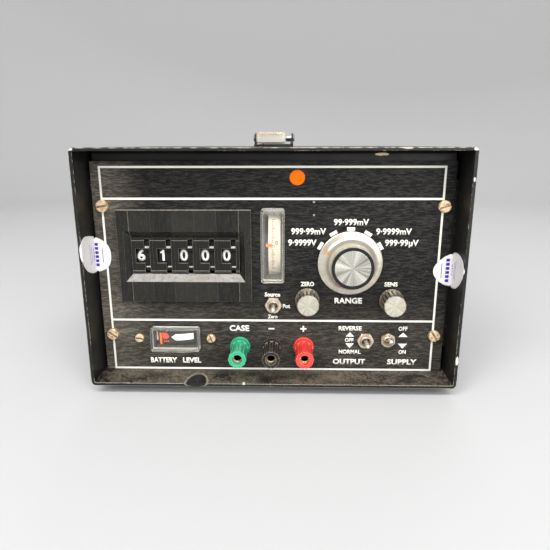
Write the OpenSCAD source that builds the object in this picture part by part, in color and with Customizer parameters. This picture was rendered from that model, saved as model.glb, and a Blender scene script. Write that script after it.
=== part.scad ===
// Bench measuring potentiometer: a hooded steel sleeve round a recessed control panel.
// Front faces -Y, +X is to the right, +Z is up. The origin is under the middle of the case, on the bench.

/* [Case] */
// Width of the sleeve
case_w = 213; // [205:1:260]
// Height of the sleeve
case_h = 136; // [130:1:170]
// Depth of the sleeve from front rim to rear rim
case_d = 200; // [170:1:260]
// Thickness of the folded sheet
case_wall = 1.8; // [1.2:0.1:2.4]
// Outside bend radius of the four long edges
case_bend = 2.6; // [2.5:0.1:5]
// Distance from the front rim back to the face of the front panel
panel_setback = 19; // [12:0.5:30]
// Distance from the rear rim in to the face of the rear panel
rear_setback = 8; // [4:0.5:20]
// Height of the rubber feet
foot_h = 6; // [4:0.5:12]
// Diameter of the rubber feet where they meet the case
foot_d = 16; // [14:0.5:22]

/* [Front panel] */
// Thickness of the front and rear panels
panel_t = 2; // [1.5:0.1:3]
// Gap at each side between front panel and sleeve
panel_gap_x = 1.7; // [0.5:0.1:4]
// Gap between the top edge of the front panel and the sleeve
panel_gap_top = 5.7; // [2:0.1:9]
// Sideways shift of the panel in the sleeve
panel_shift = -0.4; // [-0.8:0.1:0.8]
// Diameter of the four panel screw heads
screw_head_d = 6.9; // [6:0.1:8]
// Height of the upper panel screws above the case centre
screw_up = 35.4; // [30:0.1:45]
// Depth of the lower panel screws below the case centre
screw_down = 42.4; // [35:0.1:50]

/* [Thumbwheel bank] */
// Number of digit wheels
wheel_count = 5; // [3:1:5]
// Width of one digit module
wheel_pitch = 12.7; // [12:0.1:15]
// Radius of the lobed wheels
wheel_r = 21; // [18:0.5:22]
// How far the flats that carry the digits lie behind the tips of the lobes
drum_drop = 3.5; // [2.5:0.1:5]
// Width of each end cheek in front of the panel
cheek_w = 7.2; // [6:0.1:9]
// Height of the bank's front bezel
bank_h = 55.1; // [52:0.1:60]
// Right-hand end of the bank measured from the case centre
bank_right = -12.5; // [-14:0.1:-11]
// Height of the bank's centre above the case centre
bank_z = 5.9; // [0:0.1:8]
// How far the bezel stands in front of the panel
bank_proud = 2; // [1:0.1:3]
// Depth of the sloped recess in the bezel
recess_depth = 3; // [2:0.1:4]

/* [Meters] */
// Width of the upright null meter
null_w = 13.5; // [12:0.1:16]
// Height of the upright null meter
null_h = 43; // [38:0.5:48]
// Height of the null meter's centre above the case centre
null_z = 12.9; // [8:0.1:15]
// Length of the null pointer from pivot to flag
null_r = 28.6; // [26:0.1:32]
// Width of the battery meter
battery_w = 29.6; // [28:0.1:36]
// Height of the battery meter
battery_h = 14.8; // [13:0.1:18]
// Length of the battery pointer from pivot to flag
battery_r = 22.6; // [20:0.1:26]

/* [Knobs] */
// Diameter of the range dial's skirt
range_skirt_d = 37.5; // [34:0.5:42]
// Diameter of the range dial's knurled grip
range_grip_d = 25.2; // [22:0.1:28]
// Height of the range dial in front of the panel
range_h = 14.9; // [12:0.1:20]
// Diameter of the two small knobs at their base
small_knob_d = 14.2; // [12:0.1:16]
// Height of the two small knobs in front of the panel
small_knob_h = 13.2; // [10:0.1:18]

/* [Switches and posts] */
// Swing of a toggle lever to each side of its middle
toggle_swing = 13; // [8:0.5:14]
// Reach of the toggle levers in front of the panel
toggle_reach = 11.4; // [9:0.1:14]
// Distance between neighbouring binding posts
post_pitch = 19.4; // [16:0.1:22]
// Length of the binding posts in front of the panel
post_h = 20.6; // [16:0.1:25]
// Bore of the plug sockets
socket_d = 4; // [3.5:0.1:4.5]

/* [Handle] */
// Distance between the two handle pins
handle_span = 98; // [80:1:140]
// Width of the strap's metal end caps
cap_w = 17.2; // [14:0.1:22]
// Height of the strap's metal end caps
cap_h = 6.5; // [5:0.1:9]
// Fore and aft play of the strap on its pins, each way
handle_play = 3; // [2:0.5:4]

/* [Hidden] */
$fn = 64;
eps = 0.01;
fit = 0.1;          // gap between parts that touch
thread_gap = 0.05;  // radial gap between a screw and its hole
run_gap = 0.05;     // radial running gap of a shaft
axis_z = foot_h + case_h / 2;
// the binding posts reach past the rim, so the case sits a little behind the origin
mid_y = max(0, post_h - panel_setback) / 2;
front_y = mid_y - case_d / 2;
panel_y = front_y + panel_setback;
panel_w = case_w - 2 * case_wall - 2 * panel_gap_x;
panel_low = -case_h / 2 + case_wall + 0.3;
panel_top = case_h / 2 - case_wall - panel_gap_top;
panel_h = panel_top - panel_low;
screw_x = panel_w / 2 - 5.65;
rear_y = mid_y + case_d / 2 - rear_setback - panel_t;

// Thumbwheel bank, all in the panel's own frame: y is 0 on the panel's face and grows inwards
bank_w = wheel_count * wheel_pitch + 2 * cheek_w;
bank_x0 = bank_right - bank_w + cheek_w;
module_w = wheel_pitch - 0.05;
floor_y = recess_depth - bank_proud;
plate_y = floor_y - 0.5;
plate_back = plate_y + 1.2;
wheel_y = plate_y - 1.1 + wheel_r;
body_half = max(wheel_r + 4.3, 25.3);
bank_back = wheel_y + wheel_r + 4.6;
cheek_plate = 4;
recess_top = 15.05;
recess_floor = 10.85;
lobe_count = 10;
lobe_phase = 12;
lobe_d = 3.6;
rim_w = 2.5;
rim_x0 = wheel_pitch - rim_w - 2.25;
drum_x0 = 2;
drum_w = rim_x0 - drum_x0 - 0.45;
drum_flat = wheel_r - drum_drop;
hub_d = 6;
wheel_room = 0.6;
drum_r = drum_flat / cos(180 / lobe_count);
rod_d = 2.5;
rod_y = bank_back - 5.5;
rod_z = body_half - 3.3;

// Meters
meter_wall = 1.2;
null_cut_w = null_w - 2.1;
null_cut_h = null_h - 3;
null_pivot_y = null_r - 2.8;
null_body_depth = null_pivot_y + 7.6;
battery_x = -59.3;
battery_z = -44.75;
battery_cut_w = battery_w - 2.4;
battery_cut_h = battery_h - 2.6;
battery_pivot_y = battery_r - 2.8;
battery_body_depth = battery_pivot_y + 7;
battery_rest = -24;
battery_screw_x = [-battery_w / 2 - 7.7, battery_w / 2 + 6.7];
battery_screw_z = -0.45;
null_cover_front = 6.2;
battery_cover_front = 4.9;
pivot_d = 1;

// Knobs
range_x = 44.9;
range_z = 2.4;
knob_lift = 1;
range_shaft_d = 6;
bush_d = 9.5;
knob_x = [20.4, 70];
knob_z = [-20, -20.2];
pot_shaft_d = 4;
pot_bush_d = 7;

// Toggle switches: x, z, nut across flats, nut turn
toggles = [[0.15, -23.65, 9, 2], [55.95, -45.9, 9, 0], [69.5, -45.5, 8, 28]];
toggle_pivot = 1.5;
toggle_bush_d = 6.35;
toggle_ball = 4.2;
toggle_frame_t = 1;

// Binding posts
post_x = [-0.8 - post_pitch, -0.8, -0.8 + post_pitch];
post_z = -50.3;
post_flange_d = 12.3;
post_flange_t = 2.2;
post_cap_d = 10.9;
stud_d = 6;
socket_recess = 3.1;
socket_depth = 12;

// Rails and fixings
rail_h = 100;
rail_t = 1.5;
rail_lip = 12;
rail_x = case_w / 2 - case_wall - fit;
rail_front = panel_y + panel_t;
rail_screw_y = [mid_y - 45, mid_y + 55];
m4 = 4;
foot_x = case_w / 2 - 21;
foot_y = case_d / 2 - 30;

// Handle
top_z = foot_h + case_h;
base_t = 1.6;
strap_t = 3.6;
strap_w = cap_w - 1.8;
pin_z = top_z + base_t + 0.35 + cap_h / 2;
pin_d = 3;
ear_x = cap_w / 2 + 2.5;
ear_t = 1;
cap_len = 22;
socket_l = 5.2;
cap_x = -1.7;

// Places its children on the panel's face, x to the right and z up from the case centre
module on_panel(x, z) {
    translate([x, panel_y, axis_z + z]) children();
}

// Cylinder along Y from y0 to y1
module rod_along_y(d, y0, y1) {
    translate([0, y0, 0]) rotate([-90, 0, 0]) cylinder(d = d, h = y1 - y0);
}

// Cone along Y, diameter d0 at y0 and d1 at y1
module cone_along_y(d0, d1, y0, y1) {
    translate([0, y0, 0]) rotate([-90, 0, 0]) cylinder(d1 = d0, d2 = d1, h = y1 - y0);
}

// Cylinder along X from x0 to x1
module rod_along_x(d, x0, x1) {
    translate([x0, 0, 0]) rotate([0, 90, 0]) cylinder(d = d, h = x1 - x0);
}

// Hexagon along Y, turned about its axis
module hex_along_y(across_flats, y0, y1, turn = 0) {
    translate([0, y0, 0]) rotate([-90, 0, 0]) rotate([0, 0, turn])
        cylinder(d = across_flats / cos(30), h = y1 - y0, $fn = 6);
}

// Box centred on x and z, from y0 to y1
module block(w, h, y0, y1) {
    translate([-w / 2, y0, -h / 2]) cube([w, y1 - y0, h]);
}

// Rectangle with true round corners
module round_rect(w, h, r) {
    square([w - 2 * r, h], center = true);
    square([w, h - 2 * r], center = true);
    for (x = [-1, 1], y = [-1, 1])
        translate([x * (w / 2 - r), y * (h / 2 - r)]) circle(r);
}

// Round-cornered block centred on x and z, from y0 to y1
module round_block(w, h, r, y0, y1) {
    translate([0, y1, 0]) rotate([90, 0, 0]) linear_extrude(y1 - y0) round_rect(w, h, r);
}

// Slotted cheese head with its shank, face at y = -head_h, seat at y = 0
module slotted_screw(head_d, head_h, shank_d, shank_l, turn = 0) {
    difference() {
        union() {
            rod_along_y(head_d, -head_h + 0.4, 0);
            cone_along_y(head_d - 0.8, head_d, -head_h, -head_h + 0.4);
            rod_along_y(shank_d, -eps, shank_l);
        }
        rotate([0, turn, 0]) block(head_d + 1, head_d * 0.17, -head_h - 1, -head_h * 0.45);
    }
}

// Nut with a clearance hole, from y0 to y1
module hex_nut(across_flats, hole_d, y0, y1, turn = 0) {
    difference() {
        hex_along_y(across_flats, y0, y1, turn);
        rod_along_y(hole_d, y0 - 1, y1 + 1);
    }
}

// Case

module case_shell() color("#1c1d1f") difference() {
    translate([0, mid_y + case_d / 2, axis_z]) rotate([90, 0, 0]) linear_extrude(case_d) difference() {
        round_rect(case_w, case_h, case_bend);
        round_rect(case_w - 2 * case_wall, case_h - 2 * case_wall, case_bend - case_wall);
    }
    // butt seam of the folded sheet, along the middle of the floor
    for (z = [foot_h - 1, foot_h + case_wall - 0.4])
        translate([-1.5, front_y - 1, z]) cube([0.5, case_d + 2, 1.4]);
    for (x = [-1, 1], y = [-1, 1])
        translate([x * foot_x, mid_y + y * foot_y, foot_h - 1])
            cylinder(d = m4 + 2 * thread_gap, h = case_wall + 2);
    for (y = [-1, 1])
        translate([0, mid_y + y * handle_span / 2, top_z - case_wall - 1])
            cylinder(d = m4 + 2 * thread_gap, h = case_wall + 2);
    for (x = [-1, 1], y = rail_screw_y)
        translate([x * (case_w / 2 - case_wall / 2), y, axis_z])
            rod_along_x(m4 + 2 * thread_gap, -case_wall, case_wall);
}

// Angle spot-welded under the roof, the panel's top edge bears on it
module stop_angle() color("#2a2b2d") {
    leg = panel_gap_top + 3.6;
    r_out = 2.2;
    t = 1.2;
    roof = axis_z + case_h / 2 - case_wall - 0.02;
    translate([-panel_w / 2 + 0.6, rail_front + fit, roof])
        rotate([90, 0, 90]) linear_extrude(panel_w - 1.2) difference() {
            union() {
                translate([0, -leg]) square([t, leg - r_out]);
                translate([r_out, -t]) square([12, t]);
                translate([r_out, -r_out]) intersection() {
                    circle(r_out);
                    translate([-r_out, 0]) square(r_out);
                }
            }
            translate([r_out, -r_out]) circle(r_out - t);
        }
}

module feet() color("#161616") for (x = [-1, 1], y = [-1, 1])
    translate([x * foot_x, mid_y + y * foot_y, 0]) rotate_extrude() polygon([
        [m4 / 2 + thread_gap, 3.2], [4.2, 3.2], [4.2, 0], [foot_d / 2 - 1.8, 0],
        [foot_d / 2 - 1.2, 0.6], [foot_d / 2, foot_h - 0.02], [m4 / 2 + thread_gap, foot_h - 0.02]
    ]);

module foot_screws() color("silver") for (x = [-1, 1], y = [-1, 1])
    translate([x * foot_x, mid_y + y * foot_y, 3.18]) rotate([90, 0, 0])
        slotted_screw(7, 2.2, m4, foot_h - 3.2 + case_wall + 4.6, 20 * x);

module case_nuts() color("silver") {
    for (x = [-1, 1], y = [-1, 1])
        translate([x * foot_x, mid_y + y * foot_y, foot_h + case_wall + 0.02]) rotate([90, 0, 0])
            hex_nut(7, m4 + 2 * thread_gap, 0, 3.2);
    for (y = [-1, 1])
        translate([0, mid_y + y * handle_span / 2, top_z - case_wall - 3.22]) rotate([90, 0, 0])
            hex_nut(7, m4 + 2 * thread_gap, 0, 3.2);
}

module rear_panel() color("#202123") translate([0, rear_y, axis_z]) difference() {
    block(case_w - 2 * case_wall - 0.6, case_h - 2 * case_wall - 0.6, 0, panel_t);
    for (x = [-1, 1], z = [-1, 1])
        translate([x * screw_x, 0, z * (rail_h / 2 - 10)]) rod_along_y(m4 + 0.4, -1, panel_t + 1);
}

module rear_screws() color("silver") for (x = [-1, 1], z = [-1, 1])
    translate([x * screw_x, rear_y + panel_t + 0.02, axis_z + z * (rail_h / 2 - 10)])
        rotate([0, 0, 180]) slotted_screw(screw_head_d, 2.6, m4, 8, 35 * x + 50 * z);

// Channel rails along both side walls; the two panels screw to their turned-in ends
module side_rails() color("#a9aaa8") for (s = [-1, 1]) difference() {
    translate([s * rail_x, 0, axis_z]) scale([s, 1, 1]) union() {
        translate([-rail_t, rail_front + 0.02, -rail_h / 2]) cube([rail_t, rear_y - rail_front - 0.04, rail_h]);
        for (z = [-rail_h / 2, rail_h / 2 - rail_t])
            translate([-rail_lip, rail_front + 0.02, z]) cube([rail_lip, rear_y - rail_front - 0.04, rail_t]);
        for (y = [rail_front + 0.02, rear_y - 0.02 - rail_t])
            translate([-rail_lip, y, -rail_h / 2]) cube([rail_lip, rail_t, rail_h]);
    }
    // lightening slots in the web
    for (y = [-30, 5, 40])
        translate([s * rail_x - 4, y, axis_z]) rotate([90, 0, 90]) linear_extrude(8) round_rect(18, 62, 8);
    for (y = rail_screw_y)
        translate([s * rail_x, y, axis_z]) rod_along_x(m4 + 2 * thread_gap, -5, 5);
    for (z = [screw_up, -screw_down])
        translate([panel_shift + s * screw_x, rail_front - 1, axis_z + z])
            rod_along_y(m4 + 2 * thread_gap, 0, rail_t + 3);
    for (z = [-1, 1])
        translate([s * screw_x, rear_y - rail_t - 2, axis_z + z * (rail_h / 2 - 10)])
            rod_along_y(m4 + 2 * thread_gap, 0, rail_t + 3);
}

module rail_screws() color("#3a3a3a") for (s = [-1, 1], y = rail_screw_y)
    translate([s * (case_w / 2 + 0.02), y, axis_z]) rotate([0, 0, s * 90])
        slotted_screw(7.6, 2, m4, case_wall + fit + rail_t + 2.5, 15 + y);

// Handle

module handle_brackets() color("#26262a") for (y = [-1, 1])
    translate([0, mid_y + y * handle_span / 2, top_z + 0.02]) difference() {
        union() {
            translate([0, 0, 0]) linear_extrude(base_t) round_rect(2 * (ear_x + ear_t / 2), 26, 2);
            for (x = [-1, 1])
                translate([x * ear_x, 0, 0]) rotate([90, 0, 90]) translate([0, 0, -ear_t / 2])
                    linear_extrude(ear_t) {
                        polygon([[-6, 0], [6, 0], [6, 2.4], [3.3, pin_z - top_z], [-3.3, pin_z - top_z], [-6, 2.4]]);
                        translate([0, pin_z - top_z - 0.4]) circle(d = 6.6);
                    }
        }
        translate([0, 0, -1]) cylinder(d = m4 + 2 * thread_gap, h = base_t + 2);
        translate([0, 0, 0.6]) cylinder(d1 = m4, d2 = 8.6, h = base_t - 0.6 + eps);
        translate([0, 0, pin_z - top_z - 0.02]) rod_along_x(pin_d + 2 * thread_gap, -20, 20);
        translate([-15, -15, -6]) cube([30, 30, 6]);
    }

module handle_screws() color("silver") for (y = [-1, 1])
    translate([0, mid_y + y * handle_span / 2, top_z + 0.02]) {
        translate([0, 0, 0.62]) cylinder(d1 = m4, d2 = 8.4, h = base_t - 0.64);
        translate([0, 0, -case_wall - 4.2]) cylinder(d = m4, h = case_wall + 4.9);
    }

module handle_pins() color("silver") for (y = [-1, 1])
    translate([0, mid_y + y * handle_span / 2, pin_z]) {
        rod_along_x(pin_d, -ear_x - ear_t / 2 - 0.4, ear_x + ear_t / 2 + 0.4);
        for (x = [-1, 1])
            translate([x * (ear_x + ear_t / 2 + 0.02), 0, 0]) rotate([0, x * 90, 0])
                cylinder(d1 = pin_d + 1.6, d2 = pin_d + 0.6, h = 0.8);
    }

// Slot that lets the strap slide on its pin
module pin_slot(w) {
    translate([-w / 2, -handle_play, -pin_d / 2 - 0.3]) cube([w, 2 * handle_play, pin_d + 0.6]);
    for (y = [-1, 1])
        translate([0, y * handle_play, 0]) rod_along_x(pin_d + 0.6, -w / 2, w / 2);
}

// Strap whose ends are pushed into the two caps, with a thicker grip between them
module handle_strap() color("#18181a") translate([cap_x, mid_y, pin_z]) {
    reach = handle_span / 2 - cap_len / 2 + socket_l - 0.05;
    round_block(strap_w - 0.1, strap_t - 0.1, 1.2, -reach, reach);
    round_block(strap_w + 1, strap_t + 1.6, 2.2, -handle_span / 2 + 14, handle_span / 2 - 14);
}

// Metal end caps: a socket for the strap and a slot for the pin
module handle_caps() color("#d8d8d4") for (s = [-1, 1])
    translate([cap_x, mid_y + s * handle_span / 2, pin_z]) scale([1, -s, 1]) difference() {
        union() {
            round_block(cap_w, cap_h, 1.6, -cap_len / 2 + 1.2, cap_len / 2);
            round_block(cap_w - 1.2, cap_h - 1.2, 1.2, -cap_len / 2, -cap_len / 2 + 1.3);
        }
        round_block(strap_w, strap_t, 1.2, cap_len / 2 - socket_l, cap_len / 2 + 1);
        translate([-cap_x, 0, 0]) pin_slot(40);
    }

// Front panel

module front_panel() color("#151617") on_panel(0, 0) difference() {
    translate([panel_shift, 0, (panel_top + panel_low) / 2]) block(panel_w, panel_h, 0, panel_t);
    for (x = [-1, 1], z = [screw_up, -screw_down])
        translate([panel_shift + x * screw_x, 0, z]) rod_along_y(m4 + 0.4, -1, panel_t + 1);
    translate([bank_right - bank_w / 2, 0, bank_z])
        block(wheel_count * wheel_pitch + 2 * cheek_plate + 2 * fit, 2 * (body_half + fit), -1, panel_t + 1);
    translate([0, 0, null_z]) block(null_cut_w, null_cut_h, -1, panel_t + 1);
    translate([battery_x, 0, battery_z]) {
        block(battery_cut_w, battery_cut_h, -1, panel_t + 1);
        for (x = battery_screw_x) translate([x, 0, battery_screw_z]) rod_along_y(2.8, -1, panel_t + 1);
    }
    translate([range_x, 0, range_z]) rod_along_y(bush_d + 2 * fit, -1, panel_t + 1);
    for (i = [0, 1]) translate([knob_x[i], 0, knob_z[i]]) rod_along_y(pot_bush_d + 2 * fit, -1, panel_t + 1);
    for (t = toggles) translate([t[0], 0, t[1]]) rod_along_y(toggle_bush_d + 2 * fit, -1, panel_t + 1);
    for (x = post_x) translate([x, 0, post_z]) rod_along_y(8 + 2 * fit, -1, panel_t + 1);
}

module panel_screws() color("#b9a78a") {
    turns = [-10, -18, 35, 58];
    places = [[-1, screw_up], [1, screw_up], [-1, -screw_down], [1, -screw_down]];
    for (i = [0:3])
        on_panel(panel_shift + places[i][0] * screw_x, places[i][1]) translate([0, -0.02, 0])
            slotted_screw(screw_head_d, 2.6, m4, panel_t + rail_t + 4, turns[i]);
}

// Thumbwheel bank

// Outline of the bezel and body in (y, z), swept along x for every module and cheek
module bank_outline() {
    h = max(bank_h / 2, body_half + 2.25);
    polygon([
        [-bank_proud + 0.4, h], [-0.02, h], [-0.02, body_half], [bank_back, body_half],
        [bank_back, -body_half], [-0.02, -body_half], [-0.02, -h], [-bank_proud + 0.4, -h],
        [-bank_proud, -h + 0.4], [-bank_proud, h - 0.4]
    ]);
}

// Sloped recess, its raised plate and the lip under it, in (y, z)
module recess_outline() {
    polygon([
        [-bank_proud - 1, -recess_top - 1.4], [-bank_proud, -recess_top], [floor_y, -recess_floor],
        [floor_y, -9.6], [plate_y - 0.6, -9.6], [plate_y - 0.6, -8.8], [plate_y, -8.8], [plate_y, 9.2],
        [floor_y, 9.2], [floor_y, recess_floor], [-bank_proud, recess_top], [-bank_proud - 1, recess_top + 1.4]
    ]);
}

// Sweeps a (y, z) outline along x
module sweep_x(w) {
    rotate([90, 0, 90]) linear_extrude(w) children();
}

module in_bank(x) {
    on_panel(bank_x0 + x, bank_z) children();
}

// One digit module: bezel, slot, window and the post that its wheel turns on
module digit_housing() {
    slot_x = rim_x0 - 0.3;
    slot_w = rim_w + 0.6;
    difference() {
        sweep_x(module_w) difference() {
            bank_outline();
            recess_outline();
        }
        translate([0, wheel_y, 0]) {
            rod_along_x(2 * (drum_r + 0.3), -1, slot_x + eps);
            rod_along_x(2 * (wheel_r + wheel_room), slot_x, slot_x + slot_w);
        }
        translate([slot_x, -bank_proud - 1, -recess_floor + 0.35]) cube([slot_w, 10, 2 * recess_floor - 1.1]);
        translate([drum_x0 + 0.3, plate_y - 2, -4.3]) cube([slot_x - drum_x0 - 0.3 + eps, 5, 8.8]);
        for (s = [-1, 1]) translate([0, rod_y, s * rod_z]) rod_along_x(rod_d + 2 * thread_gap, -1, module_w + 1);
    }
    translate([0, wheel_y, 0]) rod_along_x(hub_d, drum_x0 - 0.4, slot_x + slot_w + 0.5);
}

module digit_housings() color("#1d1e20") for (i = [0:wheel_count - 1])
    in_bank(i * wheel_pitch + 0.025) digit_housing();

// Digit wheel: a ten-sided drum for the numbers and a lobed rim for the finger
module thumbwheel(i) {
    color("#111214") in_bank(i * wheel_pitch + 0.025) translate([0, wheel_y, 0]) difference() {
        union() {
            translate([drum_x0, 0, 0]) sweep_x(drum_w)
                rotate(180 / lobe_count) circle(r = drum_r, $fn = lobe_count);
            translate([drum_x0 + 1, 0, 0]) sweep_x(rim_x0 - drum_x0) circle(r = drum_flat - 1.5);
            translate([rim_x0, 0, 0]) sweep_x(rim_w) {
                circle(r = wheel_r - 1.6);
                for (k = [0:lobe_count - 1])
                    rotate(180 - lobe_phase + k * 360 / lobe_count)
                        translate([wheel_r - lobe_d / 2, 0]) circle(d = lobe_d);
            }
        }
        rod_along_x(hub_d + 2 * run_gap, 0, 20);
        // hollow behind the numbers
        difference() {
            rod_along_x(2 * (drum_flat - 2), drum_x0 - 1, drum_x0 + drum_w - 1.5);
            rod_along_x(hub_d + 4, drum_x0 - 2, drum_x0 + drum_w);
        }
    }
}

// End cheek with its half of the sloped recess and a snap lug behind the panel
module cheek() {
    slope = 3.45;
    difference() {
        union() {
            difference() {
                translate([-cheek_w, 0, 0]) sweep_x(cheek_w - 0.025) bank_outline();
                translate([-cheek_w - 1, 0, -body_half - 1])
                    cube([cheek_w - cheek_plate + 1, bank_back + 1, 2 * body_half + 2]);
            }
            translate([-cheek_plate - 1.1, panel_t + 0.1, -8]) linear_extrude(16)
                polygon([[0, 0], [1.2, 0], [1.2, 5], [1.0, 5]]);
        }
        hull() {
            translate([-slope - 1.15, -bank_proud - 1, -recess_top - 1.4])
                cube([slope + 2, 0.01, 2 * recess_top + 2.8]);
            translate([0, floor_y - 0.01, -recess_floor]) cube([1, 0.01, 2 * recess_floor]);
        }
        for (s = [-1, 1]) translate([0, rod_y, s * rod_z]) rod_along_x(rod_d + 2 * thread_gap, -cheek_w - 1, 1);
    }
}

module bank_cheeks() color("#1d1e20") {
    in_bank(0) cheek();
    in_bank(wheel_count * wheel_pitch) mirror([1, 0, 0]) cheek();
}

module bank_rods() color("silver") for (s = [-1, 1])
    in_bank(0) translate([0, rod_y, s * rod_z]) {
        rod_along_x(rod_d, -cheek_plate - 3.4, wheel_count * wheel_pitch + cheek_plate + 3.4);
        for (x = [-cheek_plate - 2.05, wheel_count * wheel_pitch + cheek_plate + 0.05])
            translate([x, 0, 0]) rotate([0, 90, 0]) cylinder(d = 5 / cos(30), h = 2, $fn = 6);
    }

// Contact boards that stand out of the back of the digit modules
module digit_boards() color("#2f5d3a") for (i = [0:wheel_count - 1])
    in_bank(i * wheel_pitch + 9.4) translate([0, bank_back + 0.02, -19]) cube([1.6, 12, 38]);

// Null meter: an upright edgewise movement under a clear cover

module null_meter_body() color("#2b2a28") on_panel(0, null_z) difference() {
    union() {
        round_block(null_w, null_h, 1.5, -meter_wall, -0.02);
        block(null_cut_w - 2 * fit, null_cut_h - 2 * fit, -0.03, null_body_depth);
    }
    block(null_cut_w - 2 * fit - 2 * meter_wall, null_cut_h - 2 * fit - 2 * meter_wall, -3, null_body_depth - meter_wall);
    translate([0, null_pivot_y, 0]) rod_along_x(pivot_d + 2 * run_gap, -20, 20);
}

// Clear cover with a bowed front
module bowed_cover(w, h, r, bow, cover_front) {
    bow_r = (h * h / 4 + bow * bow) / (2 * bow);
    difference() {
        round_block(w, h, r, -cover_front - bow, -meter_wall - 0.02);
        // the front is cut to a bow about the meter's own axis
        difference() {
            translate([0, -cover_front - bow - 5, 0]) block(w + 2, h + 2, 0, 8);
            translate([0, -cover_front - bow + bow_r, 0]) rod_along_x(2 * bow_r, -w, w, $fn = 360);
        }
        difference() {
            round_block(w - 2.2, h - 2.2, r - 0.8, -cover_front - bow, -meter_wall + 1);
            difference() {
                translate([0, -cover_front - bow - 4, 0]) block(w + 2, h + 2, 0, 8);
                translate([0, -cover_front - bow + bow_r, 0]) rod_along_x(2 * (bow_r - 1.1), -w, w, $fn = 360);
            }
        }
    }
}

module null_meter_cover() color("#cfd8d8", 0.35) on_panel(0, null_z)
    bowed_cover(null_w, null_h, 1.8, 1.6, null_cover_front);

// Curved card, carried on two ribs from the body's side wall
module null_meter_scale() color("#efe9d2") on_panel(0, null_z) translate([0, null_pivot_y, 0]) {
    card_r = null_r - 0.6;
    x0 = -2.6;
    intersection() {
        translate([x0, 0, 0]) sweep_x(null_cut_w / 2 - fit - meter_wall - 0.02 - x0) difference() {
            circle(card_r);
            circle(card_r - 0.6);
        }
        translate([-10, -card_r - 1, -null_cut_h / 2 + 1.4]) cube([20, 12, null_cut_h - 2.8]);
    }
}

module null_pointer() color("#e0532a") on_panel(0, null_z) translate([0, null_pivot_y, 0]) {
    // flag at the tip, arm beside the card and counterweight behind the pivot
    translate([-4, -null_r - 0.2, -0.55]) cube([3.7, 0.4, 1.8]);
    translate([-4, -null_r, -0.35]) cube([0.6, null_r + 5, 0.7]);
    translate([-4, 4.4, -1.6]) cube([1.4, 1.4, 3.2]);
    rod_along_x(3, -4, 2.2);
    rod_along_x(pivot_d, -null_cut_w / 2 + 0.4, null_cut_w / 2 - 0.4);
    // moving coil
    difference() {
        translate([-2.4, 0, 0]) sweep_x(4.4) round_rect(8, 8, 1);
        translate([-3, 0, 0]) sweep_x(6) round_rect(6, 6, 0.6);
    }
    translate([-1, -3.4, -0.4]) cube([2, 6.8, 0.8]);
}

// Battery meter: the same movement lying down

module battery_meter_body() color("#2b2a28") on_panel(battery_x, battery_z) difference() {
    union() {
        round_block(battery_w, battery_h, 1.2, -meter_wall, -0.02);
        block(battery_cut_w - 2 * fit, battery_cut_h - 2 * fit, -0.03, battery_body_depth);
        // fixing bar behind the panel
        translate([(battery_screw_x[0] + battery_screw_x[1]) / 2, 0, battery_screw_z])
            block(battery_screw_x[1] - battery_screw_x[0] + 8, 8, panel_t + 0.02, panel_t + 3.5);
    }
    block(battery_cut_w - 2 * fit - 2 * meter_wall, battery_cut_h - 2 * fit - 2 * meter_wall, -3, battery_body_depth - meter_wall);
    for (x = battery_screw_x)
        translate([x, 0, battery_screw_z]) rod_along_y(2.5 + 2 * thread_gap, panel_t - 1, panel_t + 5);
    translate([0, battery_pivot_y, -20]) cylinder(d = pivot_d + 2 * run_gap, h = 40);
}

module battery_meter_cover() color("#cfd8d8", 0.35) on_panel(battery_x, battery_z)
    rotate([0, 90, 0]) bowed_cover(battery_h, battery_w, 1.2, 1.8, battery_cover_front);

module battery_meter_scale() color("#1a1a1a") on_panel(battery_x, battery_z)
    translate([0, battery_pivot_y, 0]) {
        card_r = battery_r - 0.6;
        card_h = battery_cut_h - 2 * fit - 2 * meter_wall - 0.04;
        intersection() {
            // the card stops above the pointer's arm
            translate([0, 0, -3.1]) difference() {
                cylinder(r = card_r, h = card_h / 2 + 3.1);
                translate([0, 0, -1]) cylinder(r = card_r - 0.6, h = card_h + 2);
            }
            translate([-battery_cut_w / 2 + fit + meter_wall + 0.02, -card_r - 1, -10])
                cube([battery_cut_w - 2 * fit - 2 * meter_wall - 0.04, 12, 20]);
        }
    }

module battery_pointer() color("#e0632a") on_panel(battery_x, battery_z)
    translate([0, battery_pivot_y, 0]) rotate([0, 0, battery_rest]) {
        translate([-0.7, -battery_r - 0.2, -3.6]) cube([1.4, 0.4, 6.8]);
        translate([-0.35, -battery_r, -4.2]) cube([0.7, battery_r + 5, 0.6]);
        translate([-1.4, 3.8, -4.2]) cube([2.8, 1.4, 1.2]);
        translate([-0.35, -battery_r - 0.2, -4.2]) cube([0.7, 0.4, 1]);
        translate([0, 0, -4.2]) cylinder(d = 3, h = 8);
        translate([0, 0, -battery_cut_h / 2 + 0.4]) cylinder(d = pivot_d, h = battery_cut_h - 0.8);
        difference() {
            translate([0, 0, -3]) linear_extrude(6) round_rect(7, 7, 1);
            translate([0, 0, -4]) linear_extrude(8) round_rect(5.2, 5.2, 0.6);
        }
        translate([-3, -0.4, -1]) cube([6, 0.8, 2]);
    }

module battery_meter_screws() color("#c8c2ae") for (i = [0, 1])
    on_panel(battery_x + battery_screw_x[i], battery_z + battery_screw_z) translate([0, -0.02, 0])
        slotted_screw(5.3, 1.8, 2.5, panel_t + 5, 10 + 60 * i);

// Range dial and its switch

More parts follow.
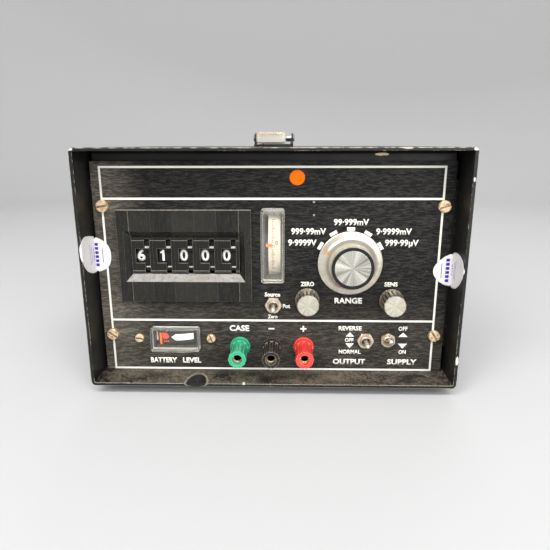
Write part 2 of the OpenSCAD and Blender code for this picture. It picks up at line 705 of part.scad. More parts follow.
module range_knob() color("#d9d7cf") on_panel(range_x, range_z) difference() {
    s = range_skirt_d / 2;
    g = range_grip_d / 2;
    flare_r = s - 0.8 - g + 0.3;
    flare_h = range_h - 6.4 - knob_lift - 1.6;
    rotate([90, 0, 0]) rotate_extrude() polygon(concat(
        [[0, knob_lift + 3.2], [9.2, knob_lift + 3.2], [9.2, knob_lift], [s - 0.4, knob_lift], [s, knob_lift + 0.4], [s, knob_lift + 1.1]],
        // the skirt sweeps up to the grip in a quarter of an ellipse
        [for (a = [0:10:90]) [s - 0.8 - flare_r * sin(a), knob_lift + 1.6 + flare_h * (1 - cos(a))]],
        [[g, range_h - 6.2], [g - 0.15, range_h - 1.2], [g - 0.5, range_h - 0.8],
         [g - 2.45, range_h - 0.8], [g - 2.45, range_h - 2], [0, range_h - 2]]
    ));
    rod_along_y(range_shaft_d + 0.06, -range_h + 3, 1);
    // knurling round the grip
    for (k = [0:59]) rotate([0, k * 6, 0])
        translate([g + 0.1, 0, 0]) rod_along_y(0.95, -range_h + 1.6, -range_h + 5.9);
}

module range_knob_ring() color("#0c0c0d") on_panel(range_x, range_z) difference() {
    union() {
        rod_along_y(range_grip_d - 5, -range_h + 1, -range_h + 2 - 0.02);
        rod_along_y(range_grip_d - 1.2, -range_h + 0.2, -range_h + 0.78);
        rod_along_y(range_grip_d - 5, -range_h + 0.7, -range_h + 1.5);
    }
    rod_along_y(range_grip_d - 9, -range_h - 1, -range_h + 3);
}

module range_knob_insert() color("#e2e0da") on_panel(range_x, range_z) {
    rod_along_y(range_grip_d - 9.1, -range_h + 0.1, -range_h + 1.98);
    cone_along_y(range_grip_d - 5.2, range_grip_d - 4.8, -range_h, -range_h + 0.18);
}

module range_shaft() color("silver") on_panel(range_x, range_z)
    rod_along_y(range_shaft_d, -range_h + 3.1, 30);

module range_switch() color("#8d8a80") on_panel(range_x, range_z) difference() {
    union() {
        rod_along_y(bush_d, -2.9, panel_t + 0.1);
        block(30, 30, panel_t + 0.02, panel_t + 1.6);
        rod_along_y(27, panel_t + 1.5, panel_t + 8);
        for (y = [14, 22]) rod_along_y(31, y, y + 1.6);
        for (x = [-1, 1]) translate([x * 12.4, 0, 0]) rod_along_y(2.6, panel_t + 1, 26);
        for (x = [-1, 1], y = [9.5, 15.5]) translate([x * 12.4, 0, 0]) rod_along_y(5, y, y + (y < 10 ? 4.6 : 6.6));
        for (y = [14, 22], k = [0:11]) rotate([0, k * 30 + 15, 0])
            translate([0, y + 0.4, 15]) cube([1.6, 0.7, 7], center = true);
    }
    rod_along_y(range_shaft_d + 2 * run_gap, -5, 40);
}

// Zero and sens knobs

module small_knob(i) {
    r = small_knob_d / 2;
    color("#cfcabb") on_panel(knob_x[i], knob_z[i]) difference() {
        rotate([90, 0, 0]) rotate_extrude() polygon([
            [0, 3.6], [6, 3.6], [6, 0.8], [r - 0.25, 0.8], [r, 1], [r, 1.5], [r - 0.2, 1.75],
            [r - 0.6, small_knob_h - 0.7], [r - 1.15, small_knob_h], [0, small_knob_h]
        ]);
        rod_along_y(pot_shaft_d + 0.06, -small_knob_h + 2, 1);
        // grooves parallel to the axis, so they run out towards the narrower face
        for (k = [0:17]) rotate([0, k * 20 + 4, 0])
            translate([r - 0.42, 0, 0]) rod_along_y(1, -small_knob_h - 1, -1.9);
    }
}

module small_shaft(i) {
    color("silver") on_panel(knob_x[i], knob_z[i]) rod_along_y(pot_shaft_d, -small_knob_h + 2.1, 12);
}

module trim_pots() color("#6f6a55") for (i = [0, 1]) on_panel(knob_x[i], knob_z[i]) difference() {
    union() {
        rod_along_y(pot_bush_d, -2.9, panel_t + 1);
        rod_along_y(16.4, panel_t + 0.02, panel_t + 9.5);
        translate([0, 0, -8]) block(13, 8, panel_t + 5, panel_t + 6.6);
        for (x = [-4.5, 0, 4.5]) translate([x, 0, -13]) block(1.2, 5, panel_t + 5.4, panel_t + 6.2);
    }
    rod_along_y(pot_shaft_d + 2 * run_gap, -5, 30);
}

module control_nuts() color("#b8b3a4") {
    on_panel(range_x, range_z) hex_nut(12, bush_d + 2 * thread_gap, -2.2, -0.02);
    for (i = [0, 1]) on_panel(knob_x[i], knob_z[i]) hex_nut(10, pot_bush_d + 2 * thread_gap, -2.2, -0.02, 15);
}

// Toggle switches

// Funnel and seat for the lever, and room for its tail
module lever_room() {
    cone_along_y(5.6, 4.4, -4, -0.4);
    rod_along_y(4.4, -0.5, toggle_pivot);
    translate([0, toggle_pivot, 0]) sphere(d = toggle_ball + 0.2);
    translate([0, toggle_pivot, 0]) block(4.4, 4.4, 0, 1.8);
    block(4.4, 7.6, panel_t + 0.6, panel_t + 7.6);
}

// Plated bush with its thread's crests, on the frame that holds the switch together
module toggle_bushes() color("#b9b3a2") for (t = toggles) on_panel(t[0], t[1]) difference() {
    union() {
        rod_along_y(toggle_bush_d - 0.5, -3.8, panel_t + 0.5);
        rod_along_y(toggle_bush_d, -2.2, panel_t + 0.5);
        for (y = [-3.75, -3.2, -2.65]) {
            cone_along_y(toggle_bush_d - 0.5, toggle_bush_d, y, y + 0.25);
            cone_along_y(toggle_bush_d, toggle_bush_d - 0.5, y + 0.25, y + 0.5);
        }
        block(9.4, 13, panel_t + 0.02, panel_t + toggle_frame_t);
    }
    lever_room();
}

module toggle_bodies() color("#8b3a2c") for (t = toggles) on_panel(t[0], t[1]) difference() {
    union() {
        block(9.4, 13, panel_t + toggle_frame_t + 0.02, panel_t + 9.4);
        for (z = [-4.6, 0, 4.6]) translate([0, 0, z]) block(2, 0.8, panel_t + 9, panel_t + 13.5);
    }
    lever_room();
}

module toggle_nuts() color("#c3b596") for (t = toggles) on_panel(t[0], t[1])
    difference() {
        intersection() {
            hex_along_y(t[2], -2, -0.02, t[3]);
            cone_along_y(t[2] * 1.02, t[2] * 1.02 + 4, -2, 0);
        }
        rod_along_y(toggle_bush_d + 2 * thread_gap, -3, 1);
    }

// Lever tilted by angle a, up being positive
module lever(t, a) {
    tip_d = 2.6;
    reach = toggle_reach + toggle_pivot;
    color("#d5d2c8") on_panel(t[0], t[1]) translate([0, toggle_pivot, 0]) rotate([-a, 0, 0]) {
        cone_along_y(tip_d, 2, -reach + tip_d / 2, 0);
        translate([0, -reach + tip_d / 2, 0]) sphere(d = tip_d);
        sphere(d = toggle_ball);
        cone_along_y(2, 1.6, 0, 5.6);
    }
}

// Binding posts

// Screw cap: a plain rim, then a fluted body that narrows a little to its tip
module post_cap(x) {
    r = post_cap_d / 2;
    rim_y = post_flange_t + 0.3;
    on_panel(x, post_z) difference() {
        rotate([90, 0, 0]) rotate_extrude() polygon([
            [0, rim_y], [r + 0.15, rim_y], [r + 0.3, rim_y + 0.2], [r + 0.3, rim_y + 1.7], [r, rim_y + 2.1],
            [r - 0.35, rim_y + 9], [r - 0.15, post_h - 0.4], [r - 0.5, post_h], [0, post_h]
        ]);
        rod_along_y(stud_d + 2 * run_gap, -post_h - 1, 1);
        for (k = [0:9]) rotate([0, k * 36 + 18, 0])
            translate([r + 0.55, 0, 0]) rod_along_y(2.3, -post_h - 1, -rim_y - 2.6);
    }
}

// Insulating flange in front of the panel and its washer behind
module post_base(x) on_panel(x, post_z) {
    r = post_flange_d / 2;
    difference() {
        union() {
            rotate([90, 0, 0]) rotate_extrude() polygon([
                [0, 0.02], [r, 0.02], [r, 1.1], [r - 0.4, 1.5], [r - 1.1, 1.5],
                [r - 1.1, post_flange_t], [0, post_flange_t]
            ]);
            rod_along_y(8, -0.5, panel_t - 0.2);
        }
        rod_along_y(m4 + 2 * thread_gap, -10, 10);
    }
    difference() {
        rod_along_y(12, panel_t + 0.02, panel_t + 2);
        rod_along_y(m4 + 2 * thread_gap, 0, 10);
    }
}

module post_studs() color("#c9a24a") for (x = post_x) on_panel(x, post_z) difference() {
    union() {
        rod_along_y(stud_d, -post_h + socket_recess, -post_flange_t - 0.02);
        rod_along_y(m4, -post_flange_t - 0.1, 13);
    }
    rod_along_y(socket_d, -post_h, -post_h + socket_recess + socket_depth);
    cone_along_y(socket_d + 1.2, socket_d, -post_h + socket_recess - 0.1, -post_h + socket_recess + 0.5);
    // cross hole for a bare wire
    translate([0, -post_flange_t - 1.5, -6]) cylinder(d = 1.8, h = 12);
}

module post_nuts() color("#c9a24a") for (x = post_x) on_panel(x, post_z) {
    hex_nut(7, m4 + 2 * thread_gap, panel_t + 2.02, panel_t + 5);
    hex_nut(7, m4 + 2 * thread_gap, panel_t + 6.2, panel_t + 8.8, 20);
    // solder tag between the nuts
    difference() {
        union() {
            rod_along_y(8, panel_t + 5.1, panel_t + 5.9);
            translate([0, 0, 6]) block(3, 9, panel_t + 5.1, panel_t + 5.9);
        }
        rod_along_y(m4 + 2 * thread_gap, 0, 20);
    }
}

// Inside

board_w = 80;
board_d = 104;
board_x = -48;
board_y = 10;
board_z = foot_h + case_wall + 8;

module circuit_board() color("#2f5d3a") difference() {
    translate([board_x - board_w / 2, board_y - board_d / 2, board_z]) cube([board_w, board_d, 1.6]);
    for (x = [-1, 1], y = [-1, 1])
        translate([board_x + x * (board_w / 2 - 5), board_y + y * (board_d / 2 - 5), board_z - 1])
            cylinder(d = 3.2, h = 4);
}

// Pillars, potted references, capacitors and resistors that stand on the board
module board_parts() color("#9a9488") {
    for (x = [-1, 1], y = [-1, 1])
        translate([board_x + x * (board_w / 2 - 5), board_y + y * (board_d / 2 - 5), foot_h + case_wall + 0.02]) {
            cylinder(d = 6, h = board_z - foot_h - case_wall - 0.04);
            cylinder(d = 3, h = board_z - foot_h - case_wall + 3.4);
            translate([0, 0, board_z - foot_h - case_wall + 1.6]) cylinder(d = 5.6, h = 2);
        }
    for (i = [0:3])
        translate([board_x - 27 + i * 18, board_y - 26, board_z + 1.62]) cylinder(d = 11, h = 20);
    for (i = [0:2])
        translate([board_x - 34 + i * 24, board_y + 2, board_z + 1.62]) cube([20, 7.6, 5]);
    for (i = [0:5])
        translate([board_x - 30 + i * 12, board_y + 26, board_z + 1.62 + 3.2]) rotate([-90, 0, 0]) cylinder(d = 6.4, h = 14);
}

cell_d = 26;
cell_l = 49;
tray_x = 38;
tray_y = 32;
tray_z = foot_h + case_wall + 0.02;

module battery_tray() color("#26262a") difference() {
    translate([tray_x - 41, tray_y - 52, tray_z]) cube([82, 104, 20]);
    translate([tray_x - 39.6, tray_y - 50.6, tray_z + 1.6]) cube([79.2, 101.2, 30]);
    for (x = [-1, 1]) translate([tray_x + x * 20, tray_y, tray_z - 1]) cylinder(d = 3.2, h = 5);
}

module battery_cells() color("#8f9aa0") for (i = [0:2], j = [0, 1])
    translate([tray_x + (i - 1) * (cell_d + 0.3), tray_y - cell_l - 0.3 + j * (cell_l + 0.6), tray_z + 1.62 + cell_d / 2])
        rotate([-90, 0, 0]) {
            cylinder(d = cell_d, h = cell_l - 1.6);
            cylinder(d = 6, h = cell_l);
        }

case_shell();
stop_angle();
feet();
foot_screws();
case_nuts();
rear_panel();
rear_screws();
side_rails();
rail_screws();
handle_brackets();
handle_screws();
handle_pins();
handle_strap();
handle_caps();
front_panel();
panel_screws();
bank_cheeks();
digit_housings();
bank_rods();
digit_boards();
thumbwheel(0);  // thumbwheel_1
thumbwheel(1);  // thumbwheel_2
thumbwheel(2);  // thumbwheel_3
thumbwheel(3);  // thumbwheel_4
thumbwheel(4);  // thumbwheel_5
null_meter_body();
null_meter_cover();
null_meter_scale();
null_pointer();
battery_meter_body();
battery_meter_cover();
battery_meter_scale();
battery_pointer();
battery_meter_screws();
range_knob();
range_knob_ring();
range_knob_insert();
range_shaft();
range_switch();
small_knob(0);  // zero_knob
small_shaft(0);  // zero_shaft
small_knob(1);  // sens_knob
small_shaft(1);  // sens_shaft
trim_pots();
control_nuts();
toggle_bushes();
toggle_bodies();
toggle_nuts();
lever(toggles[0], 0);  // source_lever
lever(toggles[1], 0);  // output_lever
lever(toggles[2], toggle_swing);  // supply_lever
color("#1f9e6a") post_cap(post_x[0]);  // post_cap_green
color("#1a1a1c") post_cap(post_x[1]);  // post_cap_black
color("#e23b34") post_cap(post_x[2]);  // post_cap_red
color("#1f9e6a") post_base(post_x[0]);  // post_base_green
color("#1a1a1c") post_base(post_x[1]);  // post_base_black
color("#e23b34") post_base(post_x[2]);  // post_base_red
post_studs();
post_nuts();
circuit_board();
board_parts();
battery_tray();
battery_cells();
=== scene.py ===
import math
import bpy
import bmesh
from mathutils import Matrix, Vector, noise


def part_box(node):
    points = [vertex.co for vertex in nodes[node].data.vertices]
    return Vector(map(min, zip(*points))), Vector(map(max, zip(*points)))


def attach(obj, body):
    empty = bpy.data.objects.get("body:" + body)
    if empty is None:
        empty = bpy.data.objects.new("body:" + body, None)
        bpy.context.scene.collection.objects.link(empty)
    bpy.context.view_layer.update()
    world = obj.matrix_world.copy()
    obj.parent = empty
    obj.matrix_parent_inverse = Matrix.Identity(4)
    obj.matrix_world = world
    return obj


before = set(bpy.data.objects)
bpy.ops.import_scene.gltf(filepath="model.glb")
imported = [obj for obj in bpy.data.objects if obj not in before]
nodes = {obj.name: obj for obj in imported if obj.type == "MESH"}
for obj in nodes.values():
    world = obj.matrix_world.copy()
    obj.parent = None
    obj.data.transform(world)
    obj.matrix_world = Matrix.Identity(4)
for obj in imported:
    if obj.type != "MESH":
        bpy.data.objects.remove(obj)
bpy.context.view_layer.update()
mm = 0.001

# places that the front is measured from, read from the frame
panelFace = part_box("front_panel")[0].y
caseLow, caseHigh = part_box("case_shell")
rimFace, caseTop = caseLow.y, caseHigh.z
caseMiddle = (caseLow.z + caseTop) / 2
print("stage: frame loaded")


# x to the right and z up from the case centre in mm, proud towards the viewer
def onPanel(x, z, proud=0.0):
    return Vector((x * mm, panelFace - proud * mm, caseMiddle + z * mm))


def newObject(name, data):
    thing = bpy.data.objects.new(name, data)
    bpy.context.scene.collection.objects.link(thing)
    return thing


# local X, Y and Z become three given directions at a point
def axesAt(point, *directions):
    return Matrix.Translation(point) @ Matrix(directions).transposed().to_4x4()


# Camera, solved from the photograph's corners; angles in degrees
camera = {"place": (0.0081, -0.3656, 0.1433), "down": 14.62, "turn": -1.39, "roll": -0.10,
          "sensor": 36, "focalPixels": 500, "widthPixels": 550}


def makeCamera(values):
    pitch, yaw, roll = (math.radians(values[key]) for key in ("down", "turn", "roll"))
    ahead = Vector((math.sin(yaw) * math.cos(pitch), math.cos(yaw) * math.cos(pitch), -math.sin(pitch)))
    side = Vector((math.cos(yaw), -math.sin(yaw), 0))
    top = side.cross(ahead)
    right = math.cos(roll) * side + math.sin(roll) * top
    up = math.cos(roll) * top - math.sin(roll) * side
    data = bpy.data.cameras.new("photoCamera")
    data.lens = values["sensor"] * values["focalPixels"] / values["widthPixels"]
    data.sensor_width = values["sensor"]
    data.clip_start = 0.01
    viewer = newObject("photoCamera", data)
    viewer.matrix_world = axesAt(values["place"], right, up, -ahead)
    bpy.context.scene.camera = viewer


makeCamera(camera)


# Node trees

# fills a socket with a link or a value; a colour without alpha is opaque
def fill(tree, socket, value):
    if isinstance(value, bpy.types.NodeSocket):
        tree.links.new(value, socket)
    elif isinstance(value, tuple) and len(value) < len(socket.default_value):
        socket.default_value = (*value, 1)
    else:
        socket.default_value = value


# adds a node, sets its properties and fills its sockets
def add(tree, kind, sockets=None, **properties):
    node = tree.nodes.new(kind)
    for key, value in properties.items():
        setattr(node, key, value)
    for key, value in (sockets or {}).items():
        fill(tree, node.inputs[key], value)
    return node


# a tree with short ways to add what finishes need
class Graph:
    def __init__(self, tree, shading=True):
        self.tree = tree
        if shading:
            coords = self.node("TexCoord").outputs
            self.place, self.normal = coords["Object"], coords["Normal"]

    def node(self, kind, sockets=None, **properties):
        return add(self.tree, "ShaderNode" + kind, sockets, **properties)

    def calc(self, operation, first, second=0.0, third=0.0, clamp=False):
        sockets = {0: first, 1: second, 2: third}
        return self.node("Math", sockets, operation=operation, use_clamp=clamp).outputs[0]

    def plus(self, first, second, clamp=False):
        return self.calc("ADD", first, second, clamp=clamp)

    def minus(self, first, second):
        return self.calc("SUBTRACT", first, second)

    def times(self, first, second, clamp=False):
        return self.calc("MULTIPLY", first, second, clamp=clamp)

    def ramp(self, value, low, high, toLow=0.0, toHigh=1.0):
        sockets = {"Value": value, "From Min": low, "From Max": high, "To Min": toLow, "To Max": toHigh}
        return self.node("MapRange", sockets, interpolation_type="SMOOTHSTEP").outputs["Result"]

    def mix(self, factor, first, second):
        return self.node("Mix", {0: factor, 6: first, 7: second}, data_type="RGBA").outputs[2]

    def noise(self, scale, detail=3.0, roughness=0.5, at=None):
        place = self.place if at is None else at
        sockets = {"Vector": place, "Scale": scale, "Detail": detail, "Roughness": roughness}
        return self.node("TexNoise", sockets).outputs["Fac"]

    def vector(self, operation, first, second=None, output=0):
        sockets = {0: first} if second is None else {0: first, 1: second}
        return self.node("VectorMath", sockets, operation=operation).outputs[output]

    def part(self, vector, axis):
        return self.node("SeparateXYZ", {0: vector}).outputs[axis]

    def use(self, group, **sockets):
        return self.node("Group", sockets, node_tree=groups[group]).outputs


# Shader groups shared by the finishes
groups = {}


class Group(Graph):
    def __init__(self, name, inputs, outputs):
        tree = bpy.data.node_groups.new(name, "ShaderNodeTree")
        for label, value in inputs.items():
            kind = "NodeSocketVector" if isinstance(value, tuple) else "NodeSocketFloat"
            tree.interface.new_socket(label, in_out="INPUT", socket_type=kind).default_value = value
        for label in outputs:
            tree.interface.new_socket(label, in_out="OUTPUT", socket_type="NodeSocketFloat")
        super().__init__(tree)
        self.given = tree.nodes.new("NodeGroupInput").outputs
        self.results = tree.nodes.new("NodeGroupOutput").inputs
        groups[name] = tree

    def give(self, label, value):
        self.tree.links.new(value, self.results[label])


# mask that is 1 on outer edges, broken up by noise, for worn edges and for painted edge highlights
def makeEdgeWear():
    wear = Group("wornAndLitEdges", {"Radius": 0.0005, "Broken": 600.0, "Amount": 0.5}, ["Mask"])
    rounded = wear.node("Bevel", {"Radius": wear.given["Radius"]}, samples=6).outputs[0]
    flat = wear.node("NewGeometry").outputs["Normal"]
    facing = wear.vector("DOT_PRODUCT", rounded, flat, "Value")
    edge = wear.ramp(wear.minus(1.0, facing), 0.02, 0.22)
    rough = wear.noise(wear.given["Broken"], 5.0, 0.65)
    broad = wear.noise(45.0, 2.0)
    level = wear.plus(wear.times(rough, 0.55), wear.times(broad, 0.45))
    start = wear.minus(0.72, wear.times(wear.given["Amount"], 0.45))
    worn = wear.ramp(level, start, wear.plus(start, 0.05))
    wear.give("Mask", wear.times(edge, worn))


# dust that settles on faces that look up
def makeDust():
    dust = Group("dust", {"Amount": 0.3, "Patches": 60.0}, ["Mask"])
    lies = dust.ramp(dust.part(dust.normal, "Z"), 0.3, 0.95)
    fine = dust.noise(800.0, 4.0, 0.85)
    patches = dust.noise(dust.given["Patches"], 4.0, 0.6)
    specks = dust.ramp(dust.times(fine, dust.plus(patches, 0.5)), 0.44, 0.58)
    dust.give("Mask", dust.times(dust.times(lies, specks), dust.given["Amount"], clamp=True))


# fine streaks of a brushed face, along the axis with the smallest stretch; Wave bends them up and down
def makeBrushing():
    brush = Group("brushing", {"Stretch": (30.0, 3000.0, 3000.0), "Contrast": 1.0, "Wave": 0.0}, ["Value"])
    lift = brush.times(brush.minus(brush.noise(110.0, 2.0), 0.5), brush.given["Wave"])
    bent = brush.vector("ADD", brush.place, brush.node("CombineXYZ", {"Z": lift}).outputs[0])
    pulled = brush.vector("MULTIPLY", bent, brush.given["Stretch"])
    lines = brush.noise(1.0, 4.0, 0.7, pulled)
    broad = brush.noise(0.22, 2.0, at=pulled)
    mixed = brush.plus(brush.times(lines, 0.85), brush.times(broad, 0.15))
    shifted = brush.times(brush.minus(mixed, 0.5), brush.given["Contrast"])
    brush.give("Value", brush.plus(shifted, 0.5, clamp=True))


# turning marks round an axis along Y, the distance from that axis, and painted wedges of highlight and shade
# that stand in for light caught by turned metal
def makeSpinMarks():
    spin = Group("spin", {"Centre": (0.0, 0.0, 0.0), "Pitch": 6000.0}, ["Value", "Radius", "PaintedSheen"])
    offset = spin.vector("SUBTRACT", spin.place, spin.given["Centre"])
    flat = spin.vector("MULTIPLY", offset, (1.0, 0.0, 1.0))
    radius = spin.vector("LENGTH", flat, output="Value")
    rings = {"W": spin.times(radius, spin.given["Pitch"]), "Scale": 1.0, "Detail": 3.0, "Roughness": 0.7}
    outward = spin.vector("NORMALIZE", flat)
    # painted light: lighter towards the top and bottom of each face, darker at its sides, broken into noisy
    # sectors
    height = spin.calc("ABSOLUTE", spin.part(outward, "Z"))
    sectors = spin.ramp(spin.noise(2.6, 4.0, 0.7, outward), 0.35, 0.65, 0.0, 0.65)
    spin.give("Value", spin.node("TexNoise", rings, noise_dimensions="1D").outputs["Fac"])
    spin.give("Radius", radius)
    spin.give("PaintedSheen", spin.calc("MULTIPLY_ADD", height, 0.35, sectors))


# small bumps of paint, moulding grain or leather, as a height
def makeGrain():
    grain = Group("grain", {"Scale": 2500.0, "Pits": 0.0}, ["Height"])
    bumps = grain.noise(grain.given["Scale"], 3.0)
    cells = {"Vector": grain.place, "Scale": grain.given["Scale"]}
    pits = grain.node("TexVoronoi", cells, feature="F1").outputs["Distance"]
    grain.give("Height", grain.plus(bumps, grain.times(pits, grain.given["Pits"])))


# 1 inside an oval block round a point, with a ragged outline
def makeSpotMask():
    spot = Group("spot", {"Centre": (0.0, 0.0, 0.0), "Size": (0.001, 0.001, 0.001), "Ragged": 0.2}, ["Mask"])
    offset = spot.vector("SUBTRACT", spot.place, spot.given["Centre"])
    reach = spot.vector("LENGTH", spot.vector("DIVIDE", offset, spot.given["Size"]), output="Value")
    uneven = spot.minus(spot.noise(900.0, 3.0), 0.5)
    bent = spot.calc("MULTIPLY_ADD", uneven, spot.given["Ragged"], reach)
    spot.give("Mask", spot.ramp(bent, 1.08, 0.92))


# how much a face looks sideways from the Y axis: 0 on faces seen from the front, 1 on walls
def makeWallMask():
    walls = Group("walls", {"Start": 0.8, "Full": 0.45}, ["Mask"])
    facing = walls.calc("ABSOLUTE", walls.part(walls.normal, "Y"))
    walls.give("Mask", walls.ramp(facing, walls.given["Start"], walls.given["Full"]))


for makeGroup in (
    makeEdgeWear, makeDust, makeBrushing, makeSpinMarks, makeGrain, makeSpotMask, makeWallMask
):
    makeGroup()


# Finishes
dustColour = (0.3, 0.26, 0.19)
# near black used as painted shade with grime in the hollows of metal
grimeAndShadeColour = (0.03, 0.022, 0.015)


class Finish(Graph):
    def __init__(self, name, **sockets):
        self.material = bpy.data.materials.new(name)
        self.material.use_nodes = True
        super().__init__(self.material.node_tree)
        self.shader = self.tree.nodes["Principled BSDF"]
        for key, value in sockets.items():
            fill(self.tree, self.shader.inputs[key.replace("_", " ")], value)

    def link(self, socket, value):
        self.tree.links.new(value, self.shader.inputs[socket])

    # bump from a height in metres, over edges softened by radius
    def relief(self, height, distance, radius=0.0):
        sockets = {"Height": height, "Distance": distance, "Strength": 1.0}
        if radius:
            sockets["Normal"] = self.node("Bevel", {"Radius": radius}, samples=4).outputs[0]
        self.link("Normal", self.node("Bump", sockets).outputs[0])

    # roughness that wanders below and above a value with noise
    def unevenRoughness(self, level, values, below=0.07, above=0.07):
        return self.ramp(level, 0.3, 0.7, values["rough"] - below, values["rough"] + above)

    # colours marks that lie at given places over a tone; also gives a mask of them all
    def addSpots(self, tone, spots):
        covered = 0.0
        for place, size, ragged, colour in spots:
            mask = self.use("spot", Centre=place, Size=size, Ragged=ragged)["Mask"]
            tone = self.mix(mask, tone, colour)
            covered = self.calc("MAXIMUM", covered, mask)
        return tone, covered


# black stove enamel: orange peel, bright metal on worn edges, a rubbed upper rim, dust where it can lie
def enamel(name, values):
    paint = Finish(name, Specular_IOR_Level=values["shine"])
    depth, height = paint.part(paint.place, "Y"), paint.part(paint.place, "Z")
    front = paint.ramp(depth, rimFace + 0.004, rimFace + 0.001)
    foot = paint.ramp(height, 0.012, 0.008)
    amount = paint.calc("MULTIPLY_ADD", paint.times(front, foot), values["rimWear"], values["wear"])
    edges = paint.use("wornAndLitEdges", Radius=values["wearWidth"], Amount=amount)["Mask"]
    brow = paint.times(paint.ramp(depth, rimFace + 0.0012, rimFace + 0.0006),
                       paint.ramp(height, caseTop - 0.0006, caseTop - 0.0003))
    lightened = paint.times(brow, paint.ramp(paint.noise(260, 4), 0.38, 0.66, 0.06, 0.5))
    worn = paint.calc("MAXIMUM", edges, lightened)
    lying = paint.ramp(height, 0.02, 0.1, values["dust"], values["roofDust"])
    dust = paint.use("dust", Amount=lying)["Mask"]
    tone = paint.mix(paint.noise(35, 4), values["colour"], values["faded"])
    strokes = paint.use("brushing", Stretch=(900.0, 60.0, 900.0), Wave=0.004)["Value"]
    tone = paint.mix(paint.ramp(strokes, 0.62, 0.7, 0.0, values["scuffs"]), tone, values["scuffColour"])
    tone = paint.mix(worn, paint.mix(dust, tone, values["dustColour"]), values["bare"])
    marked, covered = paint.addSpots(tone, values["spots"])
    paint.link("Base Color", marked)
    rough = paint.unevenRoughness(paint.noise(140, 5, 0.6), values)
    dull = paint.plus(rough, paint.times(dust, 0.4), clamp=True)
    paint.link("Roughness", paint.minus(dull, paint.times(worn, 0.1)))
    bare = paint.times(worn, paint.minus(1.0, covered))
    paint.link("Metallic", paint.times(bare, 0.6))
    grain = paint.use("grain", Scale=values["grain"])["Height"]
    paint.relief(paint.minus(grain, worn), values["depth"], values["softEdge"])
    return paint.material


# black dyed sheet with a wavy grain from side to side, greyed towards the left and below, partly by dust and
# partly as painted light that leaves the top in painted shade from the hood
def brushedBlack(name, values):
    skin = Finish(name, Specular_IOR_Level=values["shine"])
    lines = skin.use("brushing", Stretch=values["stretch"], Contrast=values["contrast"],
                     Wave=values["wave"])["Value"]
    streak = skin.ramp(lines, 0.35, 0.85)
    tone = skin.mix(streak, values["dark"], values["light"])
    # dust and painted light: grey rises towards the left edge and the bottom, leaving the top darker
    left = skin.ramp(skin.part(skin.place, "X"), *values["leftFromTo"], 0.0, values["leftGrey"])
    low = skin.ramp(skin.part(skin.place, "Z"), *values["lowFromTo"], 0.0, values["lowGrey"])
    cloud = skin.ramp(skin.noise(28, 4, 0.6), 0.3, 0.7, 0.5, 1.1)
    dustAndLightFilm = skin.times(skin.plus(left, low), cloud)
    broken = skin.times(dustAndLightFilm, skin.calc("MULTIPLY_ADD", streak, 0.8, 0.45), clamp=True)
    tone = skin.mix(broken, tone, values["grey"])
    specks = skin.ramp(skin.noise(1100, 2, 0.9), 0.7, 0.76, 0.0, values["specks"])
    marked, covered = skin.addSpots(skin.mix(specks, tone, values["speckColour"]), values["spots"])
    skin.link("Base Color", marked)
    skin.link("Roughness", skin.ramp(lines, 0.25, 0.8, values["rough"] + 0.1, values["rough"] - 0.1))
    skin.relief(lines, values["depth"], values["softEdge"])
    return skin.material


# painted highlight: tips further than a radius from an axis along X are greyed lighter where they look up,
# standing in for glints of overhead light
def addPolish(finish, tone, axis, radius, colour):
    offset = finish.vector("SUBTRACT", finish.place, axis)
    flat = finish.vector("MULTIPLY", offset, (0.0, 1.0, 1.0))
    reach = finish.vector("LENGTH", flat, output="Value")
    up = finish.part(finish.node("NewGeometry").outputs["Normal"], "Z")
    lightened = finish.times(finish.ramp(reach, radius, radius + 0.0006), finish.ramp(up, 0.3, 0.75))
    glintPatches = finish.times(lightened, finish.ramp(finish.noise(900), 0.3, 0.6, 0.5, 1.0))
    return finish.mix(glintPatches, tone, colour)


# shades of equal modules side by side, lighter lines beside their joints, and painted shade that darkens the
# plate down in the recess
def addModules(finish, mottle, values):
    across = finish.minus(finish.part(finish.place, "X"), values["modulesFrom"])
    across = finish.calc("DIVIDE", across, values["modulePitch"])
    shade = finish.node("TexWhiteNoise", {"W": finish.calc("FLOOR", across)}, noise_dimensions="1D")
    mottle = finish.calc("MULTIPLY_ADD", shade.outputs["Value"], values["moduleShade"], mottle)
    beside = finish.calc("ABSOLUTE", finish.minus(finish.calc("FRACT", across), 0.5))
    mottle = finish.plus(mottle, finish.ramp(beside, 0.476, 0.49, 0.0, values["joint"]))
    # painted shade: less of the lighter mottle behind the panel face, so the recessed plate looks darker
    recess = (panelFace - 0.0006, panelFace + 0.0006)
    return finish.times(mottle, finish.ramp(finish.part(finish.place, "Y"), *recess, 1.0, values["plate"]))


